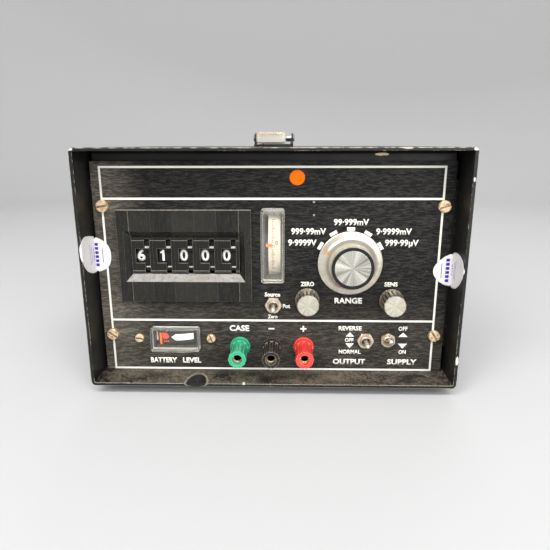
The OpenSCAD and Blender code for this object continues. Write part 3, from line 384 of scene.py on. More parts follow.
# moulded plastic in any colour, with grain, mottling, a little wear and dust
def moulding(name, values):
    plastic = Finish(
        name, Specular_IOR_Level=values["shine"], Coat_Weight=values["coat"], Coat_Roughness=0.08
    )
    tone = plastic.mix(plastic.noise(70, 4), values["colour"], values["faded"])
    streaks = plastic.use("brushing", Stretch=values["streaks"], Contrast=1.5)["Value"]
    mottle = plastic.ramp(streaks, 0.42, 0.8, 0.0, values["mottle"])
    if "modulePitch" in values:
        mottle = addModules(plastic, mottle, values)
    tone = plastic.mix(mottle, tone, values["wornColour"])
    # painted reflection: faces that look partly up are lightened in patches, standing in for the sheen of
    # overhead light
    if "sill" in values:
        patches = plastic.ramp(plastic.noise(400, 4), 0.3, 0.6, 0.6, 0.95)
        sill = plastic.times(plastic.ramp(plastic.part(plastic.normal, "Z"), 0.35, 0.55), patches)
        tone = plastic.mix(sill, tone, values["sill"])
    # worn edges; the bank's lighter edge colour is also a painted highlight of light catching its edges
    edges = plastic.use("wornAndLitEdges", Radius=values["edgeWidth"], Amount=values["wear"], Broken=900.0)["Mask"]
    edgeColour = values.get("edgeColour", values["wornColour"])
    tone = plastic.mix(plastic.times(edges, values["edging"]), tone, edgeColour)
    if "polished" in values:
        tone = addPolish(plastic, tone, *values["polished"])
    dust = plastic.use("dust", Amount=values["dust"], Patches=200.0)["Mask"]
    plastic.link("Base Color", plastic.mix(dust, tone, dustColour))
    rough = plastic.unevenRoughness(plastic.noise(260, 4), values, 0.06, 0.06)
    dull = plastic.calc("MULTIPLY_ADD", mottle, 0.3, rough)
    plastic.link("Roughness", plastic.plus(dull, plastic.times(dust, 0.3), clamp=True))
    grain = plastic.use("grain", Scale=values["grain"], Pits=values["pits"])["Height"]
    plastic.relief(grain, values["depth"], values["softEdge"])
    return plastic.material


# plated or bare metal that has dulled: stains, and painted shade with grime that darkens slots, holes and
# corners
def agedMetal(name, values):
    metal = Finish(name, Metallic=values["metallic"])
    stain = metal.ramp(metal.noise(values["stainScale"], 5, 0.65), 0.42, 0.68)
    tone = metal.mix(stain, values["colour"], values["stain"])
    if "tint" in values:
        height = metal.part(metal.place, "Z")
        tone = metal.mix(metal.ramp(height, *values["tintFromTo"]), tone, values["tint"])
    worn = metal.use("wornAndLitEdges", Radius=0.0003, Amount=0.8)["Mask"]
    shining = metal.mix(worn, tone, values["bright"])
    # painted shade and grime: ambient occlusion darkens slots, holes and corners towards near black
    openness = metal.node("AmbientOcclusion", {"Distance": values["dirtReach"]}, samples=8, only_local=True)
    dirt = metal.ramp(openness.outputs["AO"], 0.75, 0.35, 0.0, values["dirt"])
    metal.link("Base Color", metal.mix(dirt, shining, grimeAndShadeColour))
    metal.link("Roughness", metal.ramp(stain, 0.0, 1.0, values["rough"], values["rough"] + 0.25))
    metal.relief(metal.noise(3500, 3), values["depth"], values["softEdge"])
    return metal.material


# turned aluminium: rings on its faces with painted highlight and shade wedges, a warmer side, and darker
# brown down in the grooves
def turnedMetal(name, values):
    metal = Finish(name, Metallic=values["metallic"], Anisotropic=values["ringShine"])
    spin = metal.use("spin", Centre=values["centre"], Pitch=values["pitch"])
    offset = metal.vector("SUBTRACT", metal.place, values["centre"])
    tangent = metal.vector("CROSS_PRODUCT", (0.0, 1.0, 0.0), offset)
    metal.link("Tangent", metal.vector("NORMALIZE", tangent))
    wall = metal.use("walls", Start=0.55, Full=0.3)["Mask"]
    face = metal.minus(1.0, wall)
    stains = metal.ramp(metal.noise(220, 5, 0.7), 0.4, 0.7, 0.0, values["dirt"])
    stains = metal.times(stains, metal.calc("MULTIPLY_ADD", wall, 0.7, 0.3))
    tone = metal.mix(stains, metal.mix(wall, values["colour"], values["side"]), values["stain"])
    # painted highlight and shade: faces seen from the front turn towards the shade colour where the wedges
    # are low
    shaded = metal.times(metal.minus(1.0, spin["PaintedSheen"]), values["wedges"])
    tone = metal.mix(metal.times(shaded, face), tone, values["shade"])
    edge = metal.use("wornAndLitEdges", Radius=0.0003, Amount=0.9)["Mask"]
    tone = metal.mix(edge, tone, values["bright"])
    # darker brown deep in the grooves on the sides
    groove = metal.ramp(spin["Radius"], values["groove"], values["groove"] - 0.00015)
    groove = metal.times(metal.times(wall, groove), 0.9)
    metal.link("Base Color", metal.mix(groove, tone, values["grooveColour"]))
    metal.link("Roughness", metal.unevenRoughness(spin["Value"], values, 0.06, 0.08))
    metal.relief(spin["Value"], values["depth"], values["softEdge"])
    return metal.material


# printing ink, paper or paint that is thick enough to see: nearly flat, slightly uneven
def ink(name, values):
    colour, thin, rough, shine = values
    paint = Finish(name, Specular_IOR_Level=shine)
    paint.link("Base Color", paint.mix(paint.ramp(paint.noise(1500, 4, 0.7), 0.4, 0.72), colour, thin))
    paint.link("Roughness", paint.ramp(paint.noise(500, 3), 0.3, 0.7, rough - 0.08, rough + 0.08))
    paint.relief(paint.noise(4000, 2), 0.00001)
    return paint.material


# clear acrylic: light passes for shadows, walls are dulled, fine scratches and dust show on the surface
def acrylic(name, values):
    glass = Finish(name, Base_Color=values["tint"], Transmission_Weight=values["clear"], IOR=1.49)
    haze = glass.ramp(glass.noise(700, 5, 0.75), 0.5, 0.8, values["rough"], values["rough"] + 0.1)
    frosted = glass.use("walls")["Mask"]
    if "crown" in values:
        top = glass.ramp(glass.part(glass.place, "Z"), values["crown"] - 0.005, values["crown"] - 0.002)
        milky = glass.times(glass.ramp(glass.noise(500, 4), 0.35, 0.65, 0.3, 1.0), top)
        frosted = glass.calc("MAXIMUM", frosted, milky)
    glass.link("Roughness", glass.calc("MULTIPLY_ADD", frosted, values["frost"], haze, clamp=True))
    glass.relief(glass.noise(1200, 3), 0.000004, values["softEdge"])
    clear = glass.node("BsdfTransparent", {"Color": (0.92, 0.92, 0.9)}).outputs[0]
    shadow = glass.node("LightPath").outputs["Is Shadow Ray"]
    blend = glass.node("MixShader", {0: shadow, 1: glass.shader.outputs[0], 2: clear})
    glass.tree.links.new(blend.outputs[0], glass.tree.nodes["Material Output"].inputs["Surface"])
    return glass.material


# centres of the dial and the two knobs on the panel, and the axis of the wheels behind it
rangeCentre = onPanel(44.9, 2.4)
zeroCentre = onPanel(20.4, -20.0)
sensCentre = onPanel(70.0, -20.2)
wheelUp, wheelBehind = 5.9, 20.4
wheelAxis = onPanel(0, wheelUp, -wheelBehind)

# Values of the finishes, with sizes in metres; a spot holds its place, half size, raggedness and colour
casePaint = {
    "colour": (0.005, 0.005, 0.005), "faded": (0.014, 0.0135, 0.012), "rough": 0.4, "shine": 0.3,
    "wear": 0.4, "rimWear": 0.5, "wearWidth": 0.00045, "bare": (0.86, 0.8, 0.68),
    "scuffs": 0.25, "scuffColour": (0.09, 0.085, 0.075), "dust": 0.5, "roofDust": 0.16,
    "dustColour": (0.3, 0.25, 0.18), "grain": 900.0, "depth": 0.00004, "softEdge": 0.0004,
    "spots": [
        # dark half oval on the hood's floor inside a ring of dust colour
        ((-0.045, -0.0988, 0.0078), (0.0069, 0.0133, 0.002), 0.25, (0.3, 0.26, 0.2)),
        ((-0.045, -0.0988, 0.0078), (0.006, 0.0122, 0.002), 0.12, (0.012, 0.011, 0.01)),
        ((-0.0168, -0.0985, 0.0083), (0.0009, 0.0022, 0.0012), 0.4, (0.75, 0.7, 0.58)),
        # chips on the rim's corners and edges
        ((-0.1055, -0.0992, 0.1412), (0.0014, 0.0014, 0.0007), 0.9, (0.66, 0.6, 0.5)),
        ((0.1052, -0.0992, 0.1411), (0.0013, 0.0014, 0.0008), 0.9, (0.66, 0.6, 0.5)),
        ((0.0705, -0.0992, 0.1416), (0.0028, 0.0012, 0.0005), 0.7, (0.5, 0.45, 0.37)),
        ((0.1056, -0.0992, 0.0235), (0.0007, 0.0016, 0.0026), 0.7, (0.8, 0.74, 0.6)),
        ((0.1056, -0.0992, 0.1255), (0.0005, 0.0016, 0.0012), 0.7, (0.7, 0.65, 0.55)),
        # paint chip on the stop angle
        ((0.0608, -0.0781, 0.1381), (0.0036, 0.001, 0.0008), 0.9, (0.8, 0.64, 0.42)),
    ],
}
panelSkin = {
    "dark": (0.003, 0.003, 0.003), "light": (0.031, 0.029, 0.026), "rough": 0.45, "shine": 0.18,
    "stretch": (240.0, 1700.0, 1700.0), "contrast": 3.2, "wave": 0.0014, "depth": 0.00002, "softEdge": 0.0002,
    "grey": (0.2, 0.175, 0.14), "leftFromTo": (-0.07, -0.098), "leftGrey": 0.6,
    "lowFromTo": (0.06, 0.035), "lowGrey": 0.25, "specks": 0.6, "speckColour": (0.3, 0.28, 0.24),
    "spots": [
        ((0.0234, -0.0802, 0.1117), (0.0007, 0.0007, 0.0006), 0.6, (0.3, 0.26, 0.2)),
        ((0.0235, -0.0802, 0.1043), (0.0006, 0.0007, 0.0006), 0.6, (0.3, 0.26, 0.2)),
    ],
}

plainMoulding = {
    "colour": (0.014, 0.014, 0.015), "faded": (0.024, 0.023, 0.022), "wornColour": (0.2, 0.2, 0.19),
    "rough": 0.4, "shine": 0.5, "coat": 0.0, "wear": 0.2, "edgeWidth": 0.0004, "edging": 0.5, "dust": 0.3,
    "mottle": 0.0, "streaks": (900.0, 900.0, 900.0), "grain": 1500.0, "pits": 0.0, "depth": 0.00001,
    "softEdge": 0.0002,
}
greenPost = dict(
    plainMoulding, colour=(0.004, 0.3, 0.14), faded=(0.025, 0.47, 0.24), wornColour=(0.3, 0.75, 0.5),
    rough=0.2, coat=0.7, wear=0.85, edging=0.75, edgeWidth=0.0006, dust=0.08, grain=900.0, depth=0.000015,
    softEdge=0.0003,
)
mouldings = {
    "bankMoulding": dict(
        plainMoulding, colour=(0.003, 0.003, 0.003), faded=(0.007, 0.007, 0.006),
        wornColour=(0.11, 0.1, 0.07), rough=0.22, shine=0.3, wear=0.85, edging=0.8,
        # lighter edges as wear and as painted highlight, and a painted sheen on upward slopes
        edgeColour=(0.36, 0.32, 0.25), sill=(0.2, 0.185, 0.165),
        dust=0.4, mottle=0.14, streaks=(1500.0, 1500.0, 160.0), modulesFrom=-0.0832, modulePitch=0.0127,
        # the plate down in the recess is darkened as painted shade
        moduleShade=0.09, joint=0.05, plate=0.1, depth=0.000008, softEdge=0.00025,
    ),
    "wheelMoulding": dict(
        plainMoulding, colour=(0.002, 0.002, 0.002), faded=(0.005, 0.005, 0.005), wornColour=(0.1, 0.1, 0.1),
        rough=0.16, shine=0.22, coat=0.12, wear=0.6, dust=0.08, mottle=0.04, grain=2000.0, depth=0.000006,
        # lobe tips that look up are lightened as painted glints
        softEdge=0.0003, polished=(wheelAxis, 0.0193, (0.5, 0.48, 0.44)),
    ),
    "ringMoulding": dict(
        plainMoulding, colour=(0.003, 0.003, 0.003), faded=(0.007, 0.007, 0.007), rough=0.25, shine=0.35,
        wear=0.6, dust=0.05, grain=2500.0,
    ),
    "meterMoulding": dict(plainMoulding, rough=0.38, wear=0.3, dust=0.2, grain=2500.0),
    "footRubber": dict(
        plainMoulding, colour=(0.014, 0.014, 0.014), faded=(0.03, 0.03, 0.03), wornColour=(0.07, 0.07, 0.07),
        rough=0.75, wear=0.5, grain=1800.0, depth=0.00004, softEdge=0.0004,
    ),
    "strapVinyl": dict(
        plainMoulding, colour=(0.012, 0.012, 0.013), faded=(0.022, 0.022, 0.023),
        wornColour=(0.08, 0.08, 0.08), rough=0.5, wear=0.4, grain=1100.0, pits=0.9, depth=0.00012,
        softEdge=0.0006,
    ),
    "fibreBoard": dict(
        plainMoulding, colour=(0.02, 0.09, 0.035), faded=(0.035, 0.12, 0.05), wornColour=(0.3, 0.35, 0.2),
        dust=0.4, softEdge=0.0001,
    ),
    "components": dict(
        plainMoulding, colour=(0.2, 0.13, 0.05), faded=(0.3, 0.22, 0.1), wornColour=(0.4, 0.36, 0.3),
        softEdge=0.0003,
    ),
    "switchPhenolic": dict(
        plainMoulding, colour=(0.23, 0.12, 0.045), faded=(0.32, 0.19, 0.08), wornColour=(0.5, 0.4, 0.3),
        rough=0.45,
    ),
    "postGreen": greenPost,
    "postBlack": dict(
        greenPost, colour=(0.006, 0.0055, 0.005), faded=(0.016, 0.014, 0.012), wornColour=(0.5, 0.42, 0.33),
        coat=0.25, shine=0.35, edging=0.9,
    ),
    "postRed": dict(
        greenPost, colour=(0.82, 0.018, 0.012), faded=(0.92, 0.05, 0.035), wornColour=(0.95, 0.4, 0.33),
    ),
}

# the metals below darken their hollows with painted shade and grime, over a given reach
nickel = {
    "colour": (0.75, 0.66, 0.52), "stain": (0.4, 0.28, 0.16), "bright": (0.92, 0.86, 0.74), "rough": 0.3,
    "metallic": 0.75, "stainScale": 380.0, "dirtReach": 0.0012, "dirt": 0.7, "depth": 0.00001,
    "softEdge": 0.0002,
}
capLow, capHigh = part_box("handle_caps")
metals = {
    "nickel": nickel,
    "bushNickel": dict(nickel, dirtReach=0.004, dirt=1.0),
    "screwBrass": dict(
        nickel, colour=(0.86, 0.68, 0.44), stain=(0.42, 0.22, 0.1), bright=(0.95, 0.84, 0.64), rough=0.38,
        metallic=0.5, stainScale=520.0, dirt=0.95,
    ),
    "zinc": dict(
        nickel, colour=(0.55, 0.55, 0.53), stain=(0.32, 0.3, 0.26), bright=(0.8, 0.8, 0.78), metallic=1.0,
    ),
    "chrome": dict(
        nickel, colour=(0.83, 0.8, 0.72), stain=(0.7, 0.65, 0.55), bright=(0.92, 0.91, 0.88), rough=0.18,
        metallic=0.6, stainScale=90.0, depth=0.000004, softEdge=0.0006, tint=(0.6, 0.5, 0.34),
        tintFromTo=((capLow.z + capHigh.z) / 2, capHigh.z),
    ),
    "brass": dict(
        nickel, colour=(0.72, 0.56, 0.3), stain=(0.36, 0.24, 0.11), bright=(0.93, 0.84, 0.6), rough=0.25,
        metallic=1.0, stainScale=300.0, dirtReach=0.005, dirt=1.0,
    ),
}

# the turned metals paint wedges of highlight and shade on their faces, towards a shade colour
knob = {
    "colour": (0.76, 0.73, 0.64), "side": (0.8, 0.68, 0.5), "stain": (0.5, 0.42, 0.3),
    "bright": (0.94, 0.92, 0.86), "groove": 0.0066, "grooveColour": (0.05, 0.03, 0.014), "metallic": 0.85,
    "rough": 0.3, "ringShine": 0.4, "dirt": 0.4, "wedges": 0.85, "shade": (0.4, 0.36, 0.26), "pitch": 7000.0,
    "depth": 0.000008, "softEdge": 0.0002,
}
turned = {
    "rangeAluminium": dict(
        knob, centre=rangeCentre, colour=(0.63, 0.605, 0.54), side=(0.8, 0.71, 0.56), groove=0.0121, dirt=0.2,
        ringShine=0.6, wedges=0.75, metallic=0.6,
    ),
    "zeroAluminium": dict(knob, centre=zeroCentre),
    "sensAluminium": dict(knob, centre=sensCentre),
    "spunInsert": dict(
        knob, centre=rangeCentre, colour=(0.82, 0.79, 0.71), shade=(0.13, 0.13, 0.11), wedges=0.95,
        rough=0.24, ringShine=0.9, dirt=0.1, depth=0.000006, groove=0.0, metallic=1.0,
    ),
}

# colour, colour where thin, roughness, shine
inks = {
    "whiteInk": ((0.88, 0.87, 0.79), (0.76, 0.75, 0.67), 0.45, 0.3),
    "creamCard": ((0.53, 0.485, 0.41), (0.47, 0.43, 0.36), 0.6, 0.3),
    "blackCard": ((0.012, 0.012, 0.012), (0.022, 0.022, 0.021), 0.5, 0.3),
    "greyInk": ((0.05, 0.04, 0.035), (0.12, 0.1, 0.08), 0.5, 0.3),
    "orangePaint": ((0.93, 0.15, 0.02), (0.9, 0.2, 0.04), 0.4, 0.3),
    "wornOrange": ((0.55, 0.2, 0.06), (0.6, 0.4, 0.22), 0.5, 0.3),
    "redInk": ((0.62, 0.05, 0.03), (0.7, 0.12, 0.08), 0.5, 0.3),
    "orangePaper": ((0.93, 0.17, 0.002), (0.9, 0.19, 0.006), 0.6, 0.1),
    "sealPaper": ((0.83, 0.81, 0.8), (0.76, 0.7, 0.69), 0.4, 0.3),
    "blueInk": ((0.015, 0.015, 0.36), (0.08, 0.08, 0.5), 0.5, 0.3),
}

cover = {"tint": (0.96, 0.94, 0.88), "rough": 0.03, "clear": 1.0, "frost": 0.35, "softEdge": 0.0005}
acrylics = {
    "clearAcrylic": cover,
    "brightAcrylic": dict(cover, clear=0.975, frost=0.5, crown=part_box("null_meter_cover")[1].z),
}

finishes = {}
for makeFinish, plans in (
    (enamel, {"casePaint": casePaint}),
    (brushedBlack, {"panelSkin": panelSkin}),
    (moulding, mouldings),
    (agedMetal, metals),
    (turnedMetal, turned),
    (ink, inks),
    (acrylic, acrylics),
):
    for name, values in plans.items():
        finishes[name] = makeFinish(name, values)
print("stage: finishes made")

nodeFinish = {
    "casePaint": ["case_shell", "stop_angle", "rear_panel", "side_rails", "rail_screws", "handle_brackets"],
    "panelSkin": ["front_panel"],
    "bankMoulding": ["bank_cheeks", "digit_housings"],
    "wheelMoulding": ["thumbwheel_1", "thumbwheel_2", "thumbwheel_3", "thumbwheel_4", "thumbwheel_5"],
    "ringMoulding": ["range_knob_ring"],
    "meterMoulding": ["null_meter_body", "battery_meter_body"],
    "footRubber": ["feet"],
    "strapVinyl": ["handle_strap"],
    "fibreBoard": ["digit_boards", "circuit_board"],
    "components": ["board_parts"],
    "switchPhenolic": ["range_switch", "trim_pots", "toggle_bodies"],
    "postGreen": ["post_cap_green", "post_base_green"],
    "postBlack": ["post_cap_black", "post_base_black"],
    "postRed": ["post_cap_red", "post_base_red"],
    "nickel": ["rear_screws", "control_nuts", "toggle_nuts"],
    "bushNickel": ["toggle_bushes"],
    "screwBrass": ["panel_screws", "battery_meter_screws"],
    "zinc": ["foot_screws", "case_nuts", "handle_screws", "handle_pins", "bank_rods", "battery_tray",
             "battery_cells", "range_shaft", "zero_shaft", "sens_shaft"],
    "chrome": ["handle_caps", "source_lever", "output_lever", "supply_lever"],
    "brass": ["post_studs", "post_nuts"],
    "rangeAluminium": ["range_knob"],
    "zeroAluminium": ["zero_knob"],
    "sensAluminium": ["sens_knob"],
    "spunInsert": ["range_knob_insert"],
    "creamCard": ["null_meter_scale"],
    "blackCard": ["battery_meter_scale"],
    "orangePaint": ["null_pointer", "battery_pointer"],
    "clearAcrylic": ["battery_meter_cover"],
    "brightAcrylic": ["null_meter_cover"],
}


# a geometry tree with named inputs beside the geometry that comes in and goes out
def newTree(name, inputs):
    tree = bpy.data.node_groups.new(name, "GeometryNodeTree")
    tree.interface.new_socket("Geometry", in_out="INPUT", socket_type="NodeSocketGeometry")
    for label, kind in inputs.items():
        tree.interface.new_socket(label, in_out="INPUT", socket_type="NodeSocket" + kind)
    tree.interface.new_socket("Geometry", in_out="OUTPUT", socket_type="NodeSocketGeometry")
    return tree, tree.nodes.new("NodeGroupInput").outputs, tree.nodes.new("NodeGroupOutput").inputs


# rounds the shading of curved faces on the frame's own meshes and keeps hard edges hard
def makeSmoothing(angle):
    tree, given, result = newTree("smoothCurves", {"Angle": "Float"})
    tree.interface.items_tree["Angle"].default_value = angle
    weld = add(tree, "GeometryNodeMergeByDistance", {"Geometry": given[0], "Distance": 0.000001})
    shaded = {0: weld.outputs[0], "Shade Smooth": True}
    faces = add(tree, "GeometryNodeSetShadeSmooth", shaded, domain="FACE")
    bend = add(tree, "GeometryNodeInputMeshEdgeAngle").outputs["Unsigned Angle"]
    flat = add(tree, "FunctionNodeCompare", {0: bend, 1: given["Angle"]}, operation="LESS_EQUAL")
    kept = {0: faces.outputs[0], "Shade Smooth": flat.outputs[0]}
    edges = add(tree, "GeometryNodeSetShadeSmooth", kept, domain="EDGE")
    tree.links.new(edges.outputs[0], result[0])
    return tree


smoothing = makeSmoothing(math.radians(32))


def dress(piece, finish):
    piece.data.materials.clear()
    piece.data.materials.append(finishes[finish])


for finish, names in nodeFinish.items():
    for name in names:
        dress(nodes[name], finish)
        nodes[name].modifiers.new("smoothCurves", "NODES").node_group = smoothing
print("stage: frame dressed")


# New pieces; a print is this thick and lies this much proud of its face, in mm
printProud = 0.002
printThick = 0.03


def addPiece(name, mesh, finish, body="cabinet"):
    piece = newObject(name, mesh)
    if finish:
        dress(piece, finish)
    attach(piece, body)


# turns faces outward first, unless they are so already or the mesh is open
def meshFrom(name, work, outward=True):
    if outward:
        bmesh.ops.recalc_face_normals(work, faces=work.faces)
    mesh = bpy.data.meshes.new(name)
    work.to_mesh(mesh)
    work.free()
    return mesh


def addPrint(name, work, finish, body="cabinet", outward=True):
    addPiece(name, meshFrom(name, work, outward), finish, body)


def evaluatedMesh(holder):
    return bpy.data.meshes.new_from_object(holder.evaluated_get(bpy.context.evaluated_depsgraph_get()))


# flat outline in (x, z) mm on the panel or another place, given a small thickness
def addOutline(work, points, proud=printProud, place=onPanel):
    back = [work.verts.new(place(x, z, proud)) for x, z in points]
    front = [work.verts.new(place(x, z, proud + printThick)) for x, z in points]
    work.faces.new(front)
    work.faces.new(list(reversed(back)))
    for i in range(len(points)):
        j = (i + 1) % len(points)
        work.faces.new((back[i], back[j], front[j], front[i]))


# closed strip through sections of x, lower edge and upper edge, which bends with its face
def addStrip(work, sections, proud, thick, place):
    rings = []
    for x, low, high in sections:
        corners = ((low, proud), (high, proud), (high, proud + thick), (low, proud + thick))
        rings.append([work.verts.new(place(x, z, lift)) for z, lift in corners])
    work.faces.new(rings[0])
    work.faces.new(rings[-1])
    for near, far in zip(rings, rings[1:]):
        for i in range(4):
            work.faces.new((near[i - 1], near[i], far[i], far[i - 1]))


def rectangle(x0, x1, z0, z1):
    return [(x0, z0), (x1, z0), (x1, z1), (x0, z1)]


# white ruled frame of the panel, in mm
panelRules = {
    "width": 1.2, "left": -98.05, "right": 96.25, "top": 57.25, "bottom": -65.25, "header": 39.5,
    "middle": -33.6,
}


def makeRules(values):
    work = bmesh.new()
    half = values["width"] / 2
    left, right, top, bottom = (values[key] for key in ("left", "right", "top", "bottom"))
    for x in (left, right):
        addOutline(work, rectangle(x - half, x + half, bottom - half, top + half))
    for z in (top, bottom, values["header"], values["middle"]):
        addOutline(work, rectangle(left + half, right - half, z - half, z + half))
    addPrint("panelRules", work, "whiteInk")


makeRules(panelRules)


def letteringMesh(words, weight):
    curve = bpy.data.curves.new("lettering", "FONT")
    curve.body = words
    curve.size = 1.0
    curve.offset = weight
    curve.resolution_u = 3
    holder = newObject("lettering", curve)
    mesh = evaluatedMesh(holder)
    bpy.data.objects.remove(holder)
    bpy.data.curves.remove(curve)
    return mesh


# lowest and highest point of a capital letter
def capitalSpan(weight):
    mesh = letteringMesh("E", weight)
    heights = [vert.co.y for vert in mesh.vertices]
    bpy.data.meshes.remove(mesh)
    return min(heights), max(heights)


# adds lettering that fills a box: x0 to x1 wide, with capitals from z0 to z1
def addLettering(work, words, box, weight, proud=printProud, place=onPanel):
    x0, x1, z0, z1 = box
    mesh = letteringMesh(words, weight)
    low, high = capitalSpan(weight)
    xs = [vert.co.x for vert in mesh.vertices]
    left, right = min(xs), max(xs)
    sideways = (x1 - x0) / (right - left)
    upward = (z1 - z0) / (high - low)
    letters = bmesh.new()
    letters.from_mesh(mesh)
    bpy.data.meshes.remove(mesh)
    bmesh.ops.remove_doubles(letters, verts=letters.verts, dist=1e-5)
    body = bmesh.ops.extrude_face_region(letters, geom=letters.faces[:])
    raised = {item for item in body["geom"] if isinstance(item, bmesh.types.BMVert)}
    for vert in letters.verts:
        x = x0 + (vert.co.x - left) * sideways
        z = z0 + (vert.co.y - low) * upward
        vert.co = place(x, z, proud + (printThick if vert in raised else 0.0))
    solid = meshFrom("letters", letters, False)
    work.from_mesh(solid)
    bpy.data.meshes.remove(solid)


# words with x0, x1, z0, z1 in mm; those with numbers are set lighter
legends = [
    ("RANGE", 36.6, 53.0, -22.6, -19.0),
    ("ZERO", 16.3, 24.3, -12.0, -9.3),
    ("SENS", 65.7, 73.5, -12.0, -9.3),
    ("Source", -5.0, 4.2, -18.6, -15.9),
    ("Pot", 5.8, 10.2, -25.8, -23.2),
    ("Zero", -3.3, 2.7, -32.3, -29.8),
    ("CASE", -26.5, -14.5, -40.6, -36.8),
    ("BATTERY", -76.0, -59.7, -61.7, -58.2),
    ("LEVEL", -56.0, -44.7, -61.7, -58.2),
    ("REVERSE", 39.6, 53.5, -39.7, -36.9),
    ("OFF", 43.6, 48.9, -47.2, -44.6),
    ("NORMAL", 40.1, 53.5, -54.9, -52.2),
    ("OUTPUT", 36.6, 56.5, -61.8, -58.3),
    ("SUPPLY", 69.9, 88.0, -61.8, -58.3),
    ("OFF", 75.6, 81.1, -39.7, -37.0),
    ("ON", 76.5, 81.0, -54.8, -52.2),
    ("99·999mV", 34.9, 55.0, 24.4, 28.1),
    ("999·99mV", 10.5, 30.6, 19.0, 22.7),
    ("9·9999V", 8.8, 25.3, 12.4, 16.1),
    ("9·9999mV", 59.3, 79.7, 19.0, 22.7),
    ("999·99µV", 64.7, 84.0, 12.4, 16.1),
]


def makeLegends():
    work = bmesh.new()
    for words, *box in legends:
        addLettering(work, words, box, 0.03 if "9" in words else 0.04)
    addPrint("panelLegends", work, "whiteInk", outward=False)


makeLegends()

panelSigns = {
    "minus": rectangle(-2.8, 0.8, -39.3, -38.4),
    "plusFlat": rectangle(16.4, 20.2, -39.3, -38.3),
    "plusTop": rectangle(17.8, 18.8, -38.3, -36.9),
    "plusFoot": rectangle(17.8, 18.8, -40.7, -39.3),
    "reverseArrow": [(44.0, -43.6), (49.2, -43.6), (46.6, -40.8)],
    "normalArrow": [(44.0, -48.0), (46.6, -51.0), (49.2, -48.0)],
    "offArrow": [(75.9, -43.6), (81.4, -43.6), (78.6, -40.8)],
    "onArrow": [(75.9, -48.0), (78.6, -51.2), (81.4, -48.0)],
}


def makeSigns(values):
    work = bmesh.new()
    for points in values.values():
        addOutline(work, points)
    addPrint("panelSigns", work, "whiteInk")


makeSigns(panelSigns)


# equal blocks on an arc round the local Z axis
def makeMarksTree():
    inputs = {"Count": "Int", "Radius": "Float", "First angle": "Float", "Step": "Float", "Size": "Vector",
              "Finish": "Material"}
    tree, given, result = newTree("marksOnArc", inputs)
    graph = Graph(tree, shading=False)
    points = add(tree, "GeometryNodePoints", {"Count": given["Count"]})
    index = add(tree, "GeometryNodeInputIndex").outputs[0]
    angle = graph.calc("MULTIPLY_ADD", index, given["Step"], given["First angle"])
    x, y = (graph.times(graph.calc(way, angle), given["Radius"]) for way in ("COSINE", "SINE"))
    spot = graph.node("CombineXYZ", {"X": x, "Y": y}).outputs[0]
    placed = add(tree, "GeometryNodeSetPosition", {"Geometry": points.outputs[0], "Position": spot})
    block = add(tree, "GeometryNodeMeshCube", {"Size": given["Size"]})
    turn = graph.node("CombineXYZ", {"Z": angle}).outputs[0]
    copied = {"Points": placed.outputs[0], "Instance": block.outputs[0], "Rotation": turn}
    copies = add(tree, "GeometryNodeInstanceOnPoints", copied)
    real = add(tree, "GeometryNodeRealizeInstances", {0: copies.outputs[0]}).outputs[0]
    dressed = add(tree, "GeometryNodeSetMaterial", {"Geometry": real, "Material": given["Finish"]})
    tree.links.new(dressed.outputs[0], result[0])
    return tree


marksTree = makeMarksTree()


# runs a tree on an empty mesh, keeps the result and moves it to its place
def growMesh(name, tree, values, place):
    holder = newObject(name, bpy.data.meshes.new(name))
    modifier = holder.modifiers.new(name, "NODES")
    modifier.node_group = tree
    for socket in tree.interface.items_tree:
        if socket.in_out == "INPUT" and socket.name in values:
            modifier[socket.identifier] = values[socket.name]
    mesh = evaluatedMesh(holder)
    holder.modifiers.remove(modifier)
    bpy.data.objects.remove(holder)
    mesh.transform(place)
    return mesh


rangeMarks = {
    "Count": 5, "Radius": 19.95 * mm, "First angle": math.radians(30), "Step": math.radians(30),
    "Size": (2.0 * mm, 4.6 * mm, 0.03 * mm), "Finish": finishes["whiteInk"],
}


def makeRangeMarks(values):
    place = axesAt(rangeCentre + Vector((0, -0.02 * mm, 0)), (1, 0, 0), (0, 0, 1), (0, -1, 0))
    addPiece("rangeMarks", growMesh("rangeMarks", marksTree, values, place), None)


makeRangeMarks(rangeMarks)

# digits on the wheels' ten flats, the shown one towards the front; "one" is drawn without a foot
wheelBank = {
    "shown": [6, 1, 0, 0, 0], "pitch": 12.7, "first": -83.2, "centre": 4.95, "width": 4.9, "height": 6.9,
    "flat": 17.5, "proud": 0.004, "weight": 0.03,
    "one": [(-0.15, -3.3), (1.15, -3.3), (1.15, 3.3), (0.1, 3.3), (-0.35, 2.55), (-1.3, 2.1), (-1.3, 1.1),
            (-0.15, 1.4)],
}


def makeDigits(values):
    half, tall = values["width"] / 2, values["height"] / 2
    box = (-half, half, -tall, tall)
    for wheel, shown in enumerate(values["shown"]):
        work = bmesh.new()
        middle = values["first"] + wheel * values["pitch"] + values["centre"]
        for flat in range(10):
            rotation = Matrix.Rotation(-math.radians(36 * flat), 4, "X")
            turn = Matrix.Translation(wheelAxis) @ rotation @ Matrix.Translation(-wheelAxis)

            def onFlat(x, z, proud):
                return turn @ onPanel(middle + x, wheelUp + z, proud + values["flat"] - wheelBehind)

            digit = (shown + flat) % 10
            if digit == 1:
                addOutline(work, values["one"], values["proud"], onFlat)
            else:
                addLettering(work, str(digit), box, values["weight"], values["proud"], onFlat)
        name, body = "wheelDigits_%d" % (wheel + 1), "wheel_%d" % (wheel + 1)
        addPrint(name, work, "whiteInk", body, False)


makeDigits(wheelBank)
print("stage: lettering made")


